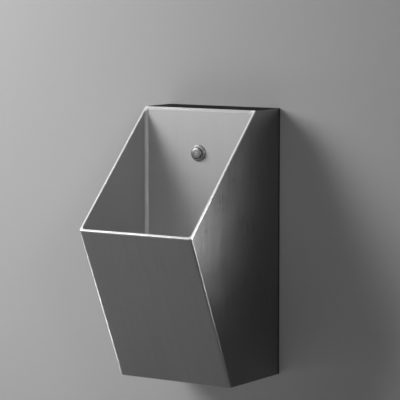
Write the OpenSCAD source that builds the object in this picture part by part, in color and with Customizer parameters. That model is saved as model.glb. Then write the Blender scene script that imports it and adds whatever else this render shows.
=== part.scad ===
// Wall-hung urinal in folded sheet steel
// The wall is the plane y = 0, the casing stands out toward -Y, and z = 0 is its bottom edge

/* [Casing] */
// Width of the casing
casing_w = 300; // [280:1:360]
// Height of the casing
casing_h = 614; // [604:1:640]
// Height of the front lip above the bottom edge
lip_h = 350; // [330:1:380]
// Depth of the casing at its bottom edge
bottom_depth = 204; // [200:1:230]
// Depth of the casing at its front lip
lip_depth = 363; // [340:1:400]
// Depth of the flat top, from the back to the opening
top_depth = 102; // [96:1:112]
// Thickness of the folded sheet
sheet_t = 1.5; // [1.2:0.1:1.8]
// Outer radius of the two bends beside the front panel
front_bend_r = 10; // [6:0.5:14]
// Outer radius of the two bends at the back
rear_bend_r = 3; // [2.5:0.5:5]
// Width of the flanges that turn inward at the back
return_flange_w = 20; // [16:1:24]
// Width of the flanges that turn inward at the bottom
bottom_flange_w = 15; // [14:1:20]

/* [Rim] */
// Width of the flat rim along the sides and the lip
rim_w = 5; // [4.5:0.1:8]
// Width of the flat rim along its top edge
rim_top_w = 6; // [5:0.5:9]
// Thickness of the flat rim
rim_t = 2.5; // [2:0.1:4]

/* [Bowl] */
// Inner radius of the upright corners of the bowl
bowl_corner_r = 8; // [5:0.5:14]
// Height of the bowl's floor at the drain
floor_z = 185; // [183:1:200]
// Slope of the floor toward the drain, in degrees
floor_slope = 8; // [4:0.5:10]
// Half the width of the level square round the drain
drain_flat = 48; // [47:1:52]
// Distance of the drain's axis from the wall
drain_depth = 170; // [166:1:174]
// Radius of the sunk ring that holds the waste flange
recess_r = 45; // [44:0.5:46]
// Depth of the sunk ring
recess_depth = 4; // [3.8:0.1:5]

/* [Top cover] */
// Depth of the cover's flanges at the sides and the front
cover_flange_h = 12; // [8:1:14]
// Depth of the cover's flange at the back
cover_rear_flange_h = 22; // [16:1:26]

/* [Wall fixing] */
// Thickness of the rubber seal behind the casing
seal_t = 4; // [3:0.5:6]
// Distance from the casing's sides to the ends of the wall bracket
bracket_inset = 30; // [25:1:40]
// Height of the wall bracket's plate
bracket_h = 50; // [46:1:52]
// Distance from the casing's top down to the wall bracket's lower edge
bracket_drop = 84; // [82:0.5:85]
// Thickness of the wall bracket
bracket_t = 2.5; // [2:0.1:3]
// Depth of the pocket behind the bracket's lip
pocket_d = 10.5; // [10:0.5:14]
// Height of the bracket's lip above its step
lip_rise = 15; // [12:0.5:16]
// Distance from the bracket's ends to its holes
bracket_hole_inset = 30; // [20:1:50]
// Distance between the bracket's holes up and down
bracket_hole_dz = 25; // [20:1:28]
// Diameter of the holes for wall screws
wall_hole_d = 9; // [7:0.5:11]
// Thickness of the hook rail
rail_t = 2.5; // [2:0.1:3]
// Height of the hook rail's front leg
rail_leg_h = 30; // [24:1:34]
// Height of the crossbar's lower edge
crossbar_z = 28; // [26:1:30]
// Height of the crossbar
crossbar_h = 30; // [26:1:32]
// Thickness of the crossbar
crossbar_t = 2; // [1.5:0.1:2.5]
// Depth of the crossbar's top flange
crossbar_flange = 12; // [8:1:16]
// Distance from the casing's sides to the crossbar's holes
crossbar_hole_inset = 60; // [45:1:65]
// Height of the crossbar's holes above its lower edge
crossbar_hole_rise = 17; // [12:1:18]

/* [Access panel] */
// Height of the panel's underside above the bottom edge
panel_z = 3; // [3:0.1:4]
// Height of the panel's turned-up sides
panel_side_h = 10; // [6:1:14]
// Gap between the panel and the casing's bottom flanges
panel_gap = 1; // [0.8:0.1:2]
// Diameter of the hinge pin
hinge_pin_d = 4; // [3:0.5:5]
// Outer diameter of the hinge knuckles
knuckle_d = 8; // [7.5:0.5:9]
// Length of the hinge
hinge_l = 140; // [120:1:160]
// Distance from the panel's sides to its two screws
panel_screw_inset = 44; // [34:1:60]
// Distance from the panel's front edge to its two screws
panel_screw_edge = 10; // [9:0.5:14]
// Diameter of the panel screws
panel_screw_d = 5; // [4:0.5:5.5]
// Length of the panel screws under the head
panel_screw_l = 10; // [9:0.5:12]

/* [Water inlet] */
// Distance from the casing's top down to the spreader's axis
spreader_drop = 102; // [100:1:108]
// Radius of the spreader's flange
spreader_flange_r = 19; // [17:0.5:21]
// Radius of the spreader's cap
spreader_cap_r = 13; // [12:0.5:14]
// Outer radius of the half-inch thread
inlet_thread_r = 10.4; // [10:0.1:10.8]
// Length of the spreader's tail behind the bowl's back
spreader_tail_l = 29; // [26:1:32]
// Outer radius of the inlet pipe inside the casing
inlet_pipe_r = 9; // [8.5:0.1:9.4]
// Outer radius of the inlet spigot at the wall
inlet_spigot_r = 7.5; // [7:0.1:8]
// Bore radius of the inlet
inlet_bore_r = 6; // [5:0.1:6.5]
// Length of the inlet spigot behind the wall plane
inlet_spigot_l = 40; // [25:1:60]

/* [Waste outlet] */
// Outer radius of the waste flange
waste_flange_r = 42; // [40:0.5:43]
// Outer radius of the waste body's thread
waste_thread_r = 28; // [27:0.5:29]
// Bore radius of the waste body
waste_bore_r = 25; // [24:0.5:25.5]
// Thickness of the waste flange
waste_flange_t = 2; // [1.6:0.1:2.2]
// Outer radius of the threaded tails
tail_r = 22; // [21.5:0.1:23]
// Bore radius of the tails and seals
tail_bore_r = 18; // [17:0.1:18.5]
// Outer radius of the necks under the union nuts
neck_r = 20; // [19.5:0.1:20.5]
// Wall of the trap
trap_wall = 3; // [2.5:0.1:3.5]
// Outer radius of the trap's body
trap_r = 33; // [32:0.5:35]
// Height of the trap's outlet axis
outlet_z = 90; // [89:0.5:91]
// Height of the trap body's lower edge
trap_z = 56; // [55:0.5:57]
// Height of the cup below the trap's body
cup_h = 34; // [30:0.5:36]
// Distance that the cup drops while its nut unscrews
cup_drop = 9; // [6:0.5:9]
// Outer radius of the outlet pipe inside the casing
outlet_pipe_r = 24; // [23.5:0.1:24.5]
// Outer radius of the outlet spigot at the wall
outlet_spigot_r = 25; // [24.6:0.1:26]
// Wall of the outlet pipe
outlet_wall = 2.2; // [1.8:0.1:2.6]
// Length of the outlet spigot behind the wall plane
outlet_spigot_l = 38; // [25:1:60]

/* [Strainer] */
// Radius of the strainer's disc
strainer_r = 34; // [30:0.5:38]
// Thickness of the strainer's disc
strainer_t = 2; // [1.5:0.1:3]
// Diameter of the strainer's holes
strainer_hole_d = 6; // [4:0.5:6]
// Depth of the strainer's skirt
strainer_skirt_h = 8; // [5:0.5:12]

/* [Damping] */
// Thickness of the damping pads
pad_t = 2; // [1:0.1:2]
// Distance from the casing's sides to the front pad
front_pad_inset = 40; // [30:1:80]
// Distance along the front panel from the bottom edge to the front pad
front_pad_rise = 25; // [25:1:40]
// Length of the front pad up the panel
front_pad_l = 125; // [60:1:125]
// Depth of the side pads
side_pad_w = 150; // [80:1:150]
// Distance from the side pads to the crossbar and the bowl's floor
side_pad_gap = 10; // [10:1:30]
// Distance from the casing's sides to the pad behind the bowl
bowl_pad_inset = 50; // [40:1:80]
// Distance from the pad behind the bowl to the floor and to the spreader
bowl_pad_gap = 45; // [42:1:60]
// Thickness of the rubber seals and gaskets
gasket_t = 2; // [1.5:0.1:2]

/* [Hidden] */
$fn = 64;
eps = 0.01;
far = 2000;
// how far a cutting solid stands past what it cuts
cut = 1;
// gap between a thread and the nut on it
thread_gap = 0.3;
// gap between parts that slide or stand close to each other
slip_gap = 0.3;
// gap between a screw or tail and what is pressed or clamped round it
screw_fit = 0.1;

back_y = -seal_t;
top_front_y = back_y - top_depth;
bottom_front_y = back_y - bottom_depth;
lip_y = back_y - lip_depth;
// lean of the front panel and tilt of the opening
front_lean = atan2(lip_depth - bottom_depth, lip_h);
rim_tilt = atan2(casing_h - lip_h, lip_depth - top_depth);
rim_l = norm([casing_h - lip_h, lip_depth - top_depth]);

inside_w = casing_w - 2 * sheet_t;
// how far the cover's front flange stands behind the opening, and the gap beside its rear flange
cover_flange_set = 2;
cover_rear_gap = 0.5;
bowl_back_y = top_front_y - rim_top_w * cos(rim_tilt);
bowl_back_outer_y = bowl_back_y + sheet_t;
drain_y = -drain_depth;
recess_z = floor_z - recess_depth;
recess_under_z = recess_z - sheet_t;

rail_leg_gap = 1.5;
rail_leg_y = back_y - sheet_t - rail_leg_gap;
bracket_w = casing_w - 2 * bracket_inset;
bracket_z = casing_h - bracket_drop;
bracket_hole_x = bracket_w / 2 - bracket_hole_inset;
step_z = bracket_z + bracket_h;
lip_top_z = step_z + lip_rise;
bracket_lip_y = -pocket_d - bracket_t;
rail_front_gap = 1;
rail_front_y = bracket_lip_y - rail_front_gap;
hook_gap = 2;
stay_margin = 2;

crossbar_y = back_y - sheet_t;
crossbar_front_y = crossbar_y - crossbar_t;
crossbar_hole_x = casing_w / 2 - crossbar_hole_inset;
crossbar_hole_z = crossbar_z + crossbar_hole_rise;

hinge_y = crossbar_front_y - knuckle_d / 2;
hinge_z = panel_z + knuckle_d / 2;
knuckle_gap = 0.5;
// play of the turning knuckles on the pin, and half of it in the fixed ones
hinge_play = 0.2;
leaf_gap = 1;
pin_end = 1;
fixed_knuckle_l = hinge_l / 7;
moving_knuckle_l = (hinge_l - 3 * fixed_knuckle_l) / 2 - 2 * knuckle_gap;
panel_w = casing_w - 2 * bottom_flange_w - 2 * panel_gap;
panel_front_y = bottom_front_y + bottom_flange_w + panel_gap;
panel_rear_y = hinge_y - knuckle_d / 2 - panel_gap;
panel_top_z = panel_z + sheet_t;
panel_screw_x = panel_w / 2 - panel_screw_inset;
panel_screw_y = panel_front_y + panel_screw_edge;
tab_w = 24;
tab_reach = 10;
tab_riser_gap = 0.5;
tab_foot_gap = 4;
tab_z = panel_top_z + slip_gap;
tab_rear_y = panel_screw_y + tab_reach;
tab_riser_y = panel_front_y - panel_gap - tab_riser_gap;
tab_foot_y = bottom_front_y + tab_foot_gap;
weld_nut_z = tab_z + sheet_t;
weld_nut_h = 4;
screw_head_h = 2.5;
screw_head_rim = 2;
screw_head_r = panel_screw_d / 2 + screw_head_rim;
screw_socket_h = 1.5;

spreader_z = casing_h - spreader_drop;
spreader_hole_gap = 0.6;
spreader_gasket_t = 1;
spreader_flange_t = 3;
spreader_flange_bevel = 2;
spreader_boss_l = 5;
flange_back_y = bowl_back_y - spreader_gasket_t;
flange_front_y = flange_back_y - spreader_flange_t;
boss_front_y = flange_front_y - spreader_boss_l;
boss_r = spreader_cap_r - 4;
cap_t = 2.5;
cap_wall = 1.5;
cap_skirt_l = 4;
cap_shelf = 0.5;
cap_slot_angle = 110;
cap_screw_r = 2;
cap_screw_l = 2;
cap_head_h = 1;
spreader_bore_r = 7;
outlet_slot_l = 3;
tail_end_y = bowl_back_outer_y + spreader_tail_l;
washer_t = 1.5;
lock_nut_h = 8;
inlet_collar_y = tail_end_y + gasket_t;
inlet_collar_t = 3;
inlet_nut_lip = 3;
inlet_nut_grip = 10;
grommet_w = 5;
// the pipes step down to their spigots inside the wall seal
shoulder_y = -seal_t / 2;

upper_gasket_t = 1.5;
waste_hole_gap = 1;
waste_seat_z = recess_z + upper_gasket_t;
waste_top_z = waste_seat_z + waste_flange_t;
lower_gasket_z = recess_under_z - gasket_t;
waste_nut_h = 10;
waste_nut_w = 7;
waste_thread_l = 35;
tail_l = 16;
waste_step_z = floor_z - waste_thread_l;
tail_end_z = waste_step_z - tail_l;
collar_t = 4;
nut_lip = 3;
nut_grip = 13;
nut_wall = 5;
rib_r = 2;
trap_shoulder_h = 3;
branch_l = 29;
trap_collar_z = tail_end_z - gasket_t;
trap_top_z = outlet_z + tail_r + trap_shoulder_h;
branch_end_y = drain_y + trap_r + branch_l;
outlet_collar_y = branch_end_y + gasket_t;
outlet_neck_l = 14;
outlet_cone_l = 8;
outlet_bevel_l = 3;
cup_top_z = trap_z - gasket_t;
cup_r = trap_r - trap_wall;
cup_z = cup_top_z - cup_h;
dip_tube_t = 1.5;
dip_tube_rise = 14;
ring_nut_lip = 4;
ring_nut_spare = 1;
ring_nut_top_z = trap_z + cup_drop + ring_nut_spare;

strainer_inner_r = 9;
strainer_outer_r = 17;
strainer_skirt_t = 1.6;
strainer_skirt_gap = 0.4;

earth_inset = 24;
earth_stud_r = 3;
earth_stud_l = 14;
earth_nut_w = 10;
earth_nut_h = 5;

// Helpers

// a solid on the slanted line of the front panel: x across, y inward from the panel, z up its length
module on_front() {
    translate([0, bottom_front_y, 0]) rotate([front_lean, 0, 0]) children();
}

// a solid on the plane of the opening: y up the slope from the lip, z out of the casing
module on_opening() {
    translate([0, lip_y, lip_h]) rotate([rim_tilt, 0, 0]) children();
}

// everything beneath the plane that lies this far under the opening
module under_opening(depth) {
    on_opening() translate([-far / 2, -far, -far - depth]) cube([far, 2 * far, far]);
}

// a slot-shaped outline with two round corners at y = 0, open toward +Y
module round_front_outline(w, r) {
    translate([-w / 2, r]) square([w, far]);
    translate([-w / 2 + r, 0]) square([w - 2 * r, far]);
    for (side = [-1, 1]) translate([side * (w / 2 - r), r]) circle(r);
}

// the endless prism behind the front panel, drawn in from the outer faces by inset
module front_prism(inset, r) {
    on_front() translate([0, inset, -far / 4]) linear_extrude(far)
        round_front_outline(casing_w - 2 * inset, r);
}

// an upright prism with two round corners at the back face y = rear
module rear_prism(w, rear, r) {
    translate([0, rear, -far / 4]) mirror([0, 1, 0]) linear_extrude(far) round_front_outline(w, r);
}

// the casing's outer form, drawn in by inset
module casing_prism(inset) {
    intersection() {
        front_prism(inset, front_bend_r - inset);
        rear_prism(casing_w - 2 * inset, back_y - inset, rear_bend_r - inset);
    }
}

// a block between two heights, wide enough to cut through everything
module level_slab(z0, z1) {
    translate([-far / 2, -far / 2, z0]) cube([far, far, z1 - z0]);
}

// everything above a plane through the edge of the level square, rising outward
module above_slope(turn, drop) {
    translate([0, drain_y, floor_z]) rotate([0, 0, turn]) translate([drain_flat, 0, 0])
        rotate([0, -floor_slope, 0]) translate([-far, -far, -drop]) cube([2 * far, 2 * far, far]);
}

// the space inside the bowl, grown outward by t
module bowl_space(t) {
    intersection() {
        front_prism(rim_w - t, bowl_corner_r + t);
        rear_prism(casing_w - 2 * rim_w + 2 * t, bowl_back_y + t, bowl_corner_r + t);
        level_slab(floor_z - t, far / 2);
        for (turn = [0, 90, 180, 270]) above_slope(turn, t);
    }
}

// a round bar or ring along Y from y0 to y1 at a height
module ring_y(y0, y1, z, r, bore = 0) {
    translate([0, y0, z]) rotate([-90, 0, 0]) difference() {
        cylinder(r = r, h = y1 - y0);
        if (bore > 0) translate([0, 0, -cut]) cylinder(r = bore, h = y1 - y0 + 2 * cut);
    }
}

// a round bar or ring on the drain's axis
module ring_z(z0, z1, r, bore = 0) {
    translate([0, drain_y, z0]) difference() {
        cylinder(r = r, h = z1 - z0);
        if (bore > 0) translate([0, 0, -cut]) cylinder(r = bore, h = z1 - z0 + 2 * cut);
    }
}

// a hexagon nut blank across flats, along Z from z = 0
module hex_bar(flats, h) {
    cylinder(r = flats / 2 / cos(30), h = h, $fn = 6);
}

// a union nut that starts with its lip: bore for the neck, then for the thread, with grip ribs
module union_nut(neck, thread, lip, grip, ribs) {
    outer = thread + nut_wall;
    difference() {
        union() {
            cylinder(r = outer, h = lip + grip);
            for (i = [0:ribs - 1]) rotate([0, 0, i * 360 / ribs]) translate([outer, 0, 0])
                cylinder(r = rib_r, h = lip + grip);
        }
        translate([0, 0, -cut]) cylinder(r = neck + thread_gap, h = lip + grip + 2 * cut);
        translate([0, 0, lip]) cylinder(r = thread + thread_gap, h = grip + cut);
    }
}

// a plate across the casing from its (y, z) outline
module across(w, points) {
    rotate([90, 0, 90]) translate([0, 0, -w / 2]) linear_extrude(w) polygon(points);
}

// Casing

module outer_shell() color("silver") {
    difference() {
        intersection() {
            casing_prism(0);
            under_opening(rim_t);
            level_slab(0, casing_h - sheet_t);
        }
        intersection() {
            casing_prism(sheet_t);
            level_slab(sheet_t, far / 2);
        }
        // the back is open between the return flanges
        translate([-casing_w / 2 + return_flange_w, back_y - sheet_t - cut, -cut])
            cube([casing_w - 2 * return_flange_w, sheet_t + 2 * cut, casing_h + 2 * cut]);
        // the underside is open for the access panel
        translate([-casing_w / 2 + bottom_flange_w, bottom_front_y + bottom_flange_w, -cut])
            cube([casing_w - 2 * bottom_flange_w, casing_h, sheet_t + 2 * cut]);
    }
}

module rim_frame() color("whitesmoke") {
    difference() {
        intersection() {
            casing_prism(0);
            on_opening() translate([-casing_w / 2, -2 * front_bend_r, -rim_t])
                cube([casing_w, rim_l + 2 * front_bend_r, rim_t]);
        }
        bowl_space(0);
    }
}

module bowl() color("lightgray") {
    difference() {
        union() {
            intersection() {
                bowl_space(sheet_t);
                under_opening(rim_t);
            }
            ring_z(recess_under_z, floor_z, recess_r + sheet_t);
        }
        bowl_space(0);
        ring_z(recess_z, floor_z + cut, recess_r);
        // hole for the waste body
        ring_z(recess_under_z - cut, recess_z + cut, waste_thread_r + waste_hole_gap);
        // hole for the spreader's tail
        ring_y(bowl_back_y - cut, bowl_back_outer_y + cut, spreader_z,
            inlet_thread_r + spreader_hole_gap);
    }
}

module top_cover() color("dimgray") {
    cover_z = casing_h - sheet_t;
    flange_z = cover_z - cover_flange_h;
    flange_front_y = top_front_y + cover_flange_set;
    flange_l = top_depth - return_flange_w / 2;
    rear_w = casing_w - 2 * (return_flange_w + cover_rear_gap);
    difference() {
        intersection() {
            casing_prism(0);
            level_slab(cover_z, casing_h);
        }
        // the mitre against the rim's end
        on_opening() translate([-far / 2, -far + rim_l, -far / 2]) cube([far, far, far]);
    }
    translate([-inside_w / 2, flange_front_y, flange_z]) cube([inside_w, sheet_t, cover_flange_h]);
    for (side = [0, 1]) mirror([side, 0, 0])
        translate([inside_w / 2 - sheet_t, flange_front_y, flange_z])
            cube([sheet_t, flange_l, cover_flange_h]);
    translate([-rear_w / 2, back_y - sheet_t, cover_z - cover_rear_flange_h])
        cube([rear_w, sheet_t, cover_rear_flange_h + eps]);
}

module bowl_stays() color("gray") {
    stay_z = lip_top_z + rail_t - rail_leg_h + stay_margin;
    stay_l = rail_front_y - rail_t - eps - bowl_back_outer_y;
    for (side = [-1, 1]) translate([side * bracket_w / 4, bowl_back_outer_y, stay_z])
        cube([crossbar_t, stay_l, rail_leg_h - 2 * stay_margin]);
}

// Wall fixing

module hook_rail() color("gray") {
    top_z = lip_top_z + rail_t;
    hook_z = step_z + hook_gap;
    across(inside_w, [
        [rail_leg_y, top_z], [rail_leg_y, hook_z], [rail_leg_y - rail_t, hook_z],
        [rail_leg_y - rail_t, lip_top_z], [rail_front_y, lip_top_z],
        [rail_front_y, top_z - rail_leg_h], [rail_front_y - rail_t, top_z - rail_leg_h],
        [rail_front_y - rail_t, top_z]
    ]);
}

module rear_crossbar() color("gray") {
    top_z = crossbar_z + crossbar_h;
    difference() {
        intersection() {
            across(inside_w, [
                [crossbar_y, crossbar_z], [crossbar_y, top_z],
                [crossbar_y - crossbar_flange, top_z],
                [crossbar_y - crossbar_flange, top_z - crossbar_t],
                [crossbar_front_y, top_z - crossbar_t], [crossbar_front_y, crossbar_z]
            ]);
            casing_prism(sheet_t);
        }
        for (side = [-1, 1]) translate([side * crossbar_hole_x, 0, 0])
            ring_y(crossbar_front_y - cut, crossbar_y + cut, crossbar_hole_z, wall_hole_d / 2);
    }
}

module wall_bracket() color("slategray") {
    hole_z = bracket_z + bracket_h / 2;
    difference() {
        across(bracket_w, [
            [0, bracket_z], [0, step_z], [-pocket_d, step_z], [-pocket_d, lip_top_z],
            [bracket_lip_y, lip_top_z], [bracket_lip_y, step_z - bracket_t],
            [-bracket_t, step_z - bracket_t], [-bracket_t, bracket_z]
        ]);
        for (dx = [-1, 1], dz = [-1, 1]) translate([dx * bracket_hole_x, 0, 0])
            ring_y(-bracket_t - cut, cut, hole_z + dz * bracket_hole_dz / 2, wall_hole_d / 2);
    }
}

module wall_seal() color("#1c1c1c") {
    difference() {
        translate([-casing_w / 2, back_y, 0]) cube([casing_w, seal_t, casing_h]);
        translate([-casing_w / 2 + return_flange_w, back_y - cut, -cut])
            cube([casing_w - 2 * return_flange_w, seal_t + 2 * cut, casing_h - return_flange_w + cut]);
    }
}

// Access panel

// the hinge's axis, along X
module on_hinge() {
    translate([0, hinge_y, hinge_z]) rotate([0, 90, 0]) children();
}

module access_panel() color("silver") {
    plate_l = panel_rear_y - panel_front_y;
    difference() {
        union() {
            translate([-panel_w / 2, panel_front_y, panel_z]) cube([panel_w, plate_l, sheet_t]);
            for (side = [0, 1]) mirror([side, 0, 0])
                translate([panel_w / 2 - sheet_t, panel_front_y, panel_z])
                    cube([sheet_t, plate_l, panel_side_h]);
            for (side = [-1, 1]) {
                centre = side * (fixed_knuckle_l + moving_knuckle_l + 2 * knuckle_gap) / 2;
                translate([centre - moving_knuckle_l / 2, panel_rear_y - eps, panel_z])
                    cube([moving_knuckle_l, hinge_y - panel_rear_y + eps, sheet_t]);
                on_hinge() translate([0, 0, centre - moving_knuckle_l / 2])
                    cylinder(d = knuckle_d, h = moving_knuckle_l);
            }
        }
        on_hinge() translate([0, 0, -hinge_l])
            cylinder(d = hinge_pin_d + hinge_play, h = 2 * hinge_l);
        at_panel_screws() translate([0, panel_screw_y, panel_z - cut])
            cylinder(r = panel_screw_d / 2 + slip_gap, h = sheet_t + 2 * cut);
    }
}

module panel_hinge_leaf() color("gray") {
    leaf_z = hinge_z + knuckle_d / 2 + leaf_gap;
    leaf_top_z = crossbar_z + crossbar_h - crossbar_t - 2 * leaf_gap;
    difference() {
        union() {
            translate([-hinge_l / 2, crossbar_front_y - sheet_t, leaf_z])
                cube([hinge_l, sheet_t, leaf_top_z - leaf_z]);
            for (i = [-1:1]) {
                start = i * (hinge_l - fixed_knuckle_l) / 2 - fixed_knuckle_l / 2;
                translate([start, crossbar_front_y - sheet_t, hinge_z])
                    cube([fixed_knuckle_l, sheet_t, knuckle_d]);
                on_hinge() translate([0, 0, start]) cylinder(d = knuckle_d, h = fixed_knuckle_l);
            }
        }
        on_hinge() translate([0, 0, -hinge_l])
            cylinder(d = hinge_pin_d + hinge_play / 2, h = 2 * hinge_l);
    }
}

module panel_hinge_pin() color("dimgray") {
    on_hinge() translate([0, 0, -hinge_l / 2 - pin_end])
        cylinder(d = hinge_pin_d, h = hinge_l + 2 * pin_end);
}

// the two places of the panel screws
module at_panel_screws() {
    for (side = [-1, 1]) translate([side * panel_screw_x, 0, 0]) children();
}

module panel_nut_tabs() color("gray") {
    at_panel_screws() difference() {
        across(tab_w, [
            [tab_foot_y, sheet_t], [tab_riser_y, sheet_t], [tab_riser_y, tab_z],
            [tab_rear_y, tab_z], [tab_rear_y, weld_nut_z], [tab_riser_y - sheet_t, weld_nut_z],
            [tab_riser_y - sheet_t, 2 * sheet_t], [tab_foot_y, 2 * sheet_t]
        ]);
        translate([0, panel_screw_y, tab_z - cut])
            cylinder(r = panel_screw_d / 2 + 2 * slip_gap, h = sheet_t + 2 * cut);
    }
}

module panel_weld_nuts() color("darkgray") {
    at_panel_screws() translate([0, panel_screw_y, weld_nut_z]) difference() {
        hex_bar(panel_screw_d * 1.6, weld_nut_h);
        translate([0, 0, -cut])
            cylinder(r = panel_screw_d / 2 + slip_gap, h = weld_nut_h + 2 * cut);
    }
}

module panel_screw() {
    translate([0, panel_screw_y, panel_z]) difference() {
        union() {
            cylinder(r = panel_screw_d / 2, h = panel_screw_l);
            translate([0, 0, -screw_head_h]) cylinder(r = screw_head_r, h = screw_head_h);
        }
        translate([0, 0, -screw_head_h - cut]) hex_bar(panel_screw_d * 0.6, screw_socket_h + cut);
    }
}

module panel_screw_left() color("dimgray") translate([-panel_screw_x, 0, 0]) panel_screw();

module panel_screw_right() color("dimgray") translate([panel_screw_x, 0, 0]) panel_screw();

// Water inlet

module spreader_body() color("gainsboro") {
    difference() {
        union() {
            translate([0, flange_front_y, spreader_z]) rotate([-90, 0, 0]) cylinder(
                r1 = spreader_flange_r - spreader_flange_bevel, r2 = spreader_flange_r,
                h = spreader_flange_t
            );
            ring_y(flange_back_y - eps, tail_end_y, spreader_z, inlet_thread_r);
            ring_y(boss_front_y, flange_front_y + eps, spreader_z, boss_r);
        }
        ring_y(flange_front_y - cut, tail_end_y + cut, spreader_z, spreader_bore_r);
        ring_y(boss_front_y - cut, flange_front_y, spreader_z, cap_screw_r + screw_fit);
        // the water leaves downward through this slot
        translate([-spreader_bore_r, flange_front_y - outlet_slot_l, spreader_z - spreader_cap_r])
            cube([2 * spreader_bore_r, outlet_slot_l, spreader_cap_r]);
    }
}

module spreader_cap() color("gainsboro") {
    cap_back_y = boss_front_y;
    cap_front_y = cap_back_y - cap_t;
    slot_w = 2 * spreader_cap_r * sin(cap_slot_angle / 2);
    difference() {
        union() {
            ring_y(cap_front_y, cap_back_y, spreader_z, spreader_cap_r);
            ring_y(cap_back_y - eps, cap_back_y + cap_skirt_l, spreader_z,
                spreader_cap_r, spreader_cap_r - cap_wall);
        }
        translate([-slot_w / 2, cap_back_y + cap_shelf, spreader_z - 2 * spreader_cap_r])
            cube([slot_w, cap_skirt_l + cut, 2 * spreader_cap_r - cap_skirt_l]);
        ring_y(cap_front_y - cut, cap_back_y + cut, spreader_z, cap_screw_r + screw_fit);
        ring_y(cap_front_y - cut, cap_front_y + cap_head_h, spreader_z, 2 * cap_screw_r);
    }
}

module spreader_cap_screw() color("dimgray") {
    head_y = boss_front_y - cap_t;
    difference() {
        union() {
            ring_y(head_y, boss_front_y + cap_screw_l, spreader_z, cap_screw_r);
            ring_y(head_y + screw_fit, head_y + cap_head_h, spreader_z, 2 * cap_screw_r - screw_fit);
        }
        translate([0, head_y - cut, spreader_z]) rotate([-90, 0, 0])
            hex_bar(1.2 * cap_screw_r, 1.5 * cap_head_h + cut);
    }
}

module spreader_gasket() color("#1c1c1c") {
    ring_y(flange_back_y, bowl_back_y, spreader_z,
        spreader_flange_r - spreader_flange_bevel / 2, inlet_thread_r + screw_fit);
}

module spreader_washer() color("darkgray") {
    ring_y(bowl_back_outer_y, bowl_back_outer_y + washer_t, spreader_z,
        spreader_flange_r - 2, inlet_thread_r + thread_gap);
}

module spreader_lock_nut() color("goldenrod") {
    translate([0, bowl_back_outer_y + washer_t, spreader_z]) rotate([-90, 0, 0]) difference() {
        hex_bar(2.6 * inlet_thread_r, lock_nut_h);
        translate([0, 0, -cut]) cylinder(r = inlet_thread_r + screw_fit, h = lock_nut_h + 2 * cut);
    }
}

module inlet_seal() color("#1c1c1c") {
    ring_y(tail_end_y + eps, inlet_collar_y, spreader_z, inlet_thread_r, spreader_bore_r);
}

module inlet_union_nut() color("goldenrod") {
    lip_y0 = inlet_collar_y + inlet_collar_t;
    length = inlet_nut_lip + inlet_nut_grip;
    translate([0, lip_y0 + inlet_nut_lip, spreader_z]) rotate([90, 0, 0]) difference() {
        hex_bar(2.9 * inlet_thread_r, length);
        translate([0, 0, -cut]) cylinder(r = inlet_pipe_r + slip_gap, h = length + 2 * cut);
        translate([0, 0, inlet_nut_lip]) cylinder(r = inlet_thread_r + thread_gap, h = length);
    }
}

module inlet_pipe() color("gainsboro") {
    difference() {
        union() {
            ring_y(inlet_collar_y, inlet_collar_y + inlet_collar_t, spreader_z, inlet_thread_r);
            ring_y(inlet_collar_y, shoulder_y, spreader_z, inlet_pipe_r);
            ring_y(shoulder_y - eps, inlet_spigot_l, spreader_z, inlet_spigot_r);
        }
        ring_y(inlet_collar_y - cut, inlet_spigot_l + cut, spreader_z, inlet_bore_r);
    }
}

module inlet_wall_grommet() color("#1c1c1c") {
    ring_y(back_y - sheet_t, shoulder_y, spreader_z, inlet_pipe_r + grommet_w, inlet_pipe_r + screw_fit);
}

// Waste and trap

module strainer() color("silver") {
    skirt_r = waste_bore_r - strainer_skirt_gap;
    hole_z = waste_top_z - cut;
    hole_l = strainer_t + 2 * cut;
    difference() {
        union() {
            ring_z(waste_top_z, waste_top_z + strainer_t, strainer_r);
            ring_z(waste_top_z - strainer_skirt_h, waste_top_z + eps,
                skirt_r, skirt_r - strainer_skirt_t);
        }
        for (i = [0:5]) translate([0, drain_y, hole_z]) rotate([0, 0, i * 60])
            translate([strainer_inner_r, 0, 0]) cylinder(d = strainer_hole_d, h = hole_l);
        for (i = [0:11]) translate([0, drain_y, hole_z]) rotate([0, 0, i * 30 + 15])
            translate([strainer_outer_r, 0, 0]) cylinder(d = strainer_hole_d, h = hole_l);
        ring_z(hole_z, hole_z + hole_l, strainer_hole_d / 2);
    }
}

module waste_body() color("silver") {
    funnel_z = waste_step_z + 2;
    translate([0, drain_y, 0]) rotate_extrude() polygon([
        [waste_bore_r, waste_top_z], [waste_flange_r, waste_top_z],
        [waste_flange_r, waste_seat_z], [waste_thread_r, waste_seat_z],
        [waste_thread_r, waste_step_z], [tail_r, waste_step_z], [tail_r, tail_end_z],
        [tail_bore_r, tail_end_z], [tail_bore_r, funnel_z], [waste_bore_r, funnel_z + 5]
    ]);
}

module waste_upper_gasket() color("#1c1c1c") {
    ring_z(recess_z, waste_seat_z, waste_flange_r - 0.5, waste_thread_r + screw_fit);
}

module waste_lower_gasket() color("#1c1c1c") {
    ring_z(lower_gasket_z, recess_under_z, waste_thread_r + waste_nut_w, waste_thread_r + screw_fit);
}

module waste_lock_nut() color("whitesmoke") {
    lugs = 6;
    lug_w = 8;
    nut_z = lower_gasket_z - waste_nut_h;
    difference() {
        union() {
            ring_z(nut_z, lower_gasket_z, waste_thread_r + waste_nut_w);
            for (i = [0:lugs - 1]) translate([0, drain_y, nut_z]) rotate([0, 0, i * 360 / lugs])
                translate([waste_thread_r + waste_nut_w / 2, -lug_w / 2, 0])
                    cube([waste_nut_w, lug_w, 0.8 * waste_nut_h]);
        }
        ring_z(nut_z - cut, lower_gasket_z + cut, waste_thread_r + thread_gap);
    }
}

module trap_inlet_seal() color("#1c1c1c") ring_z(trap_collar_z, tail_end_z, tail_r, tail_bore_r);

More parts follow.
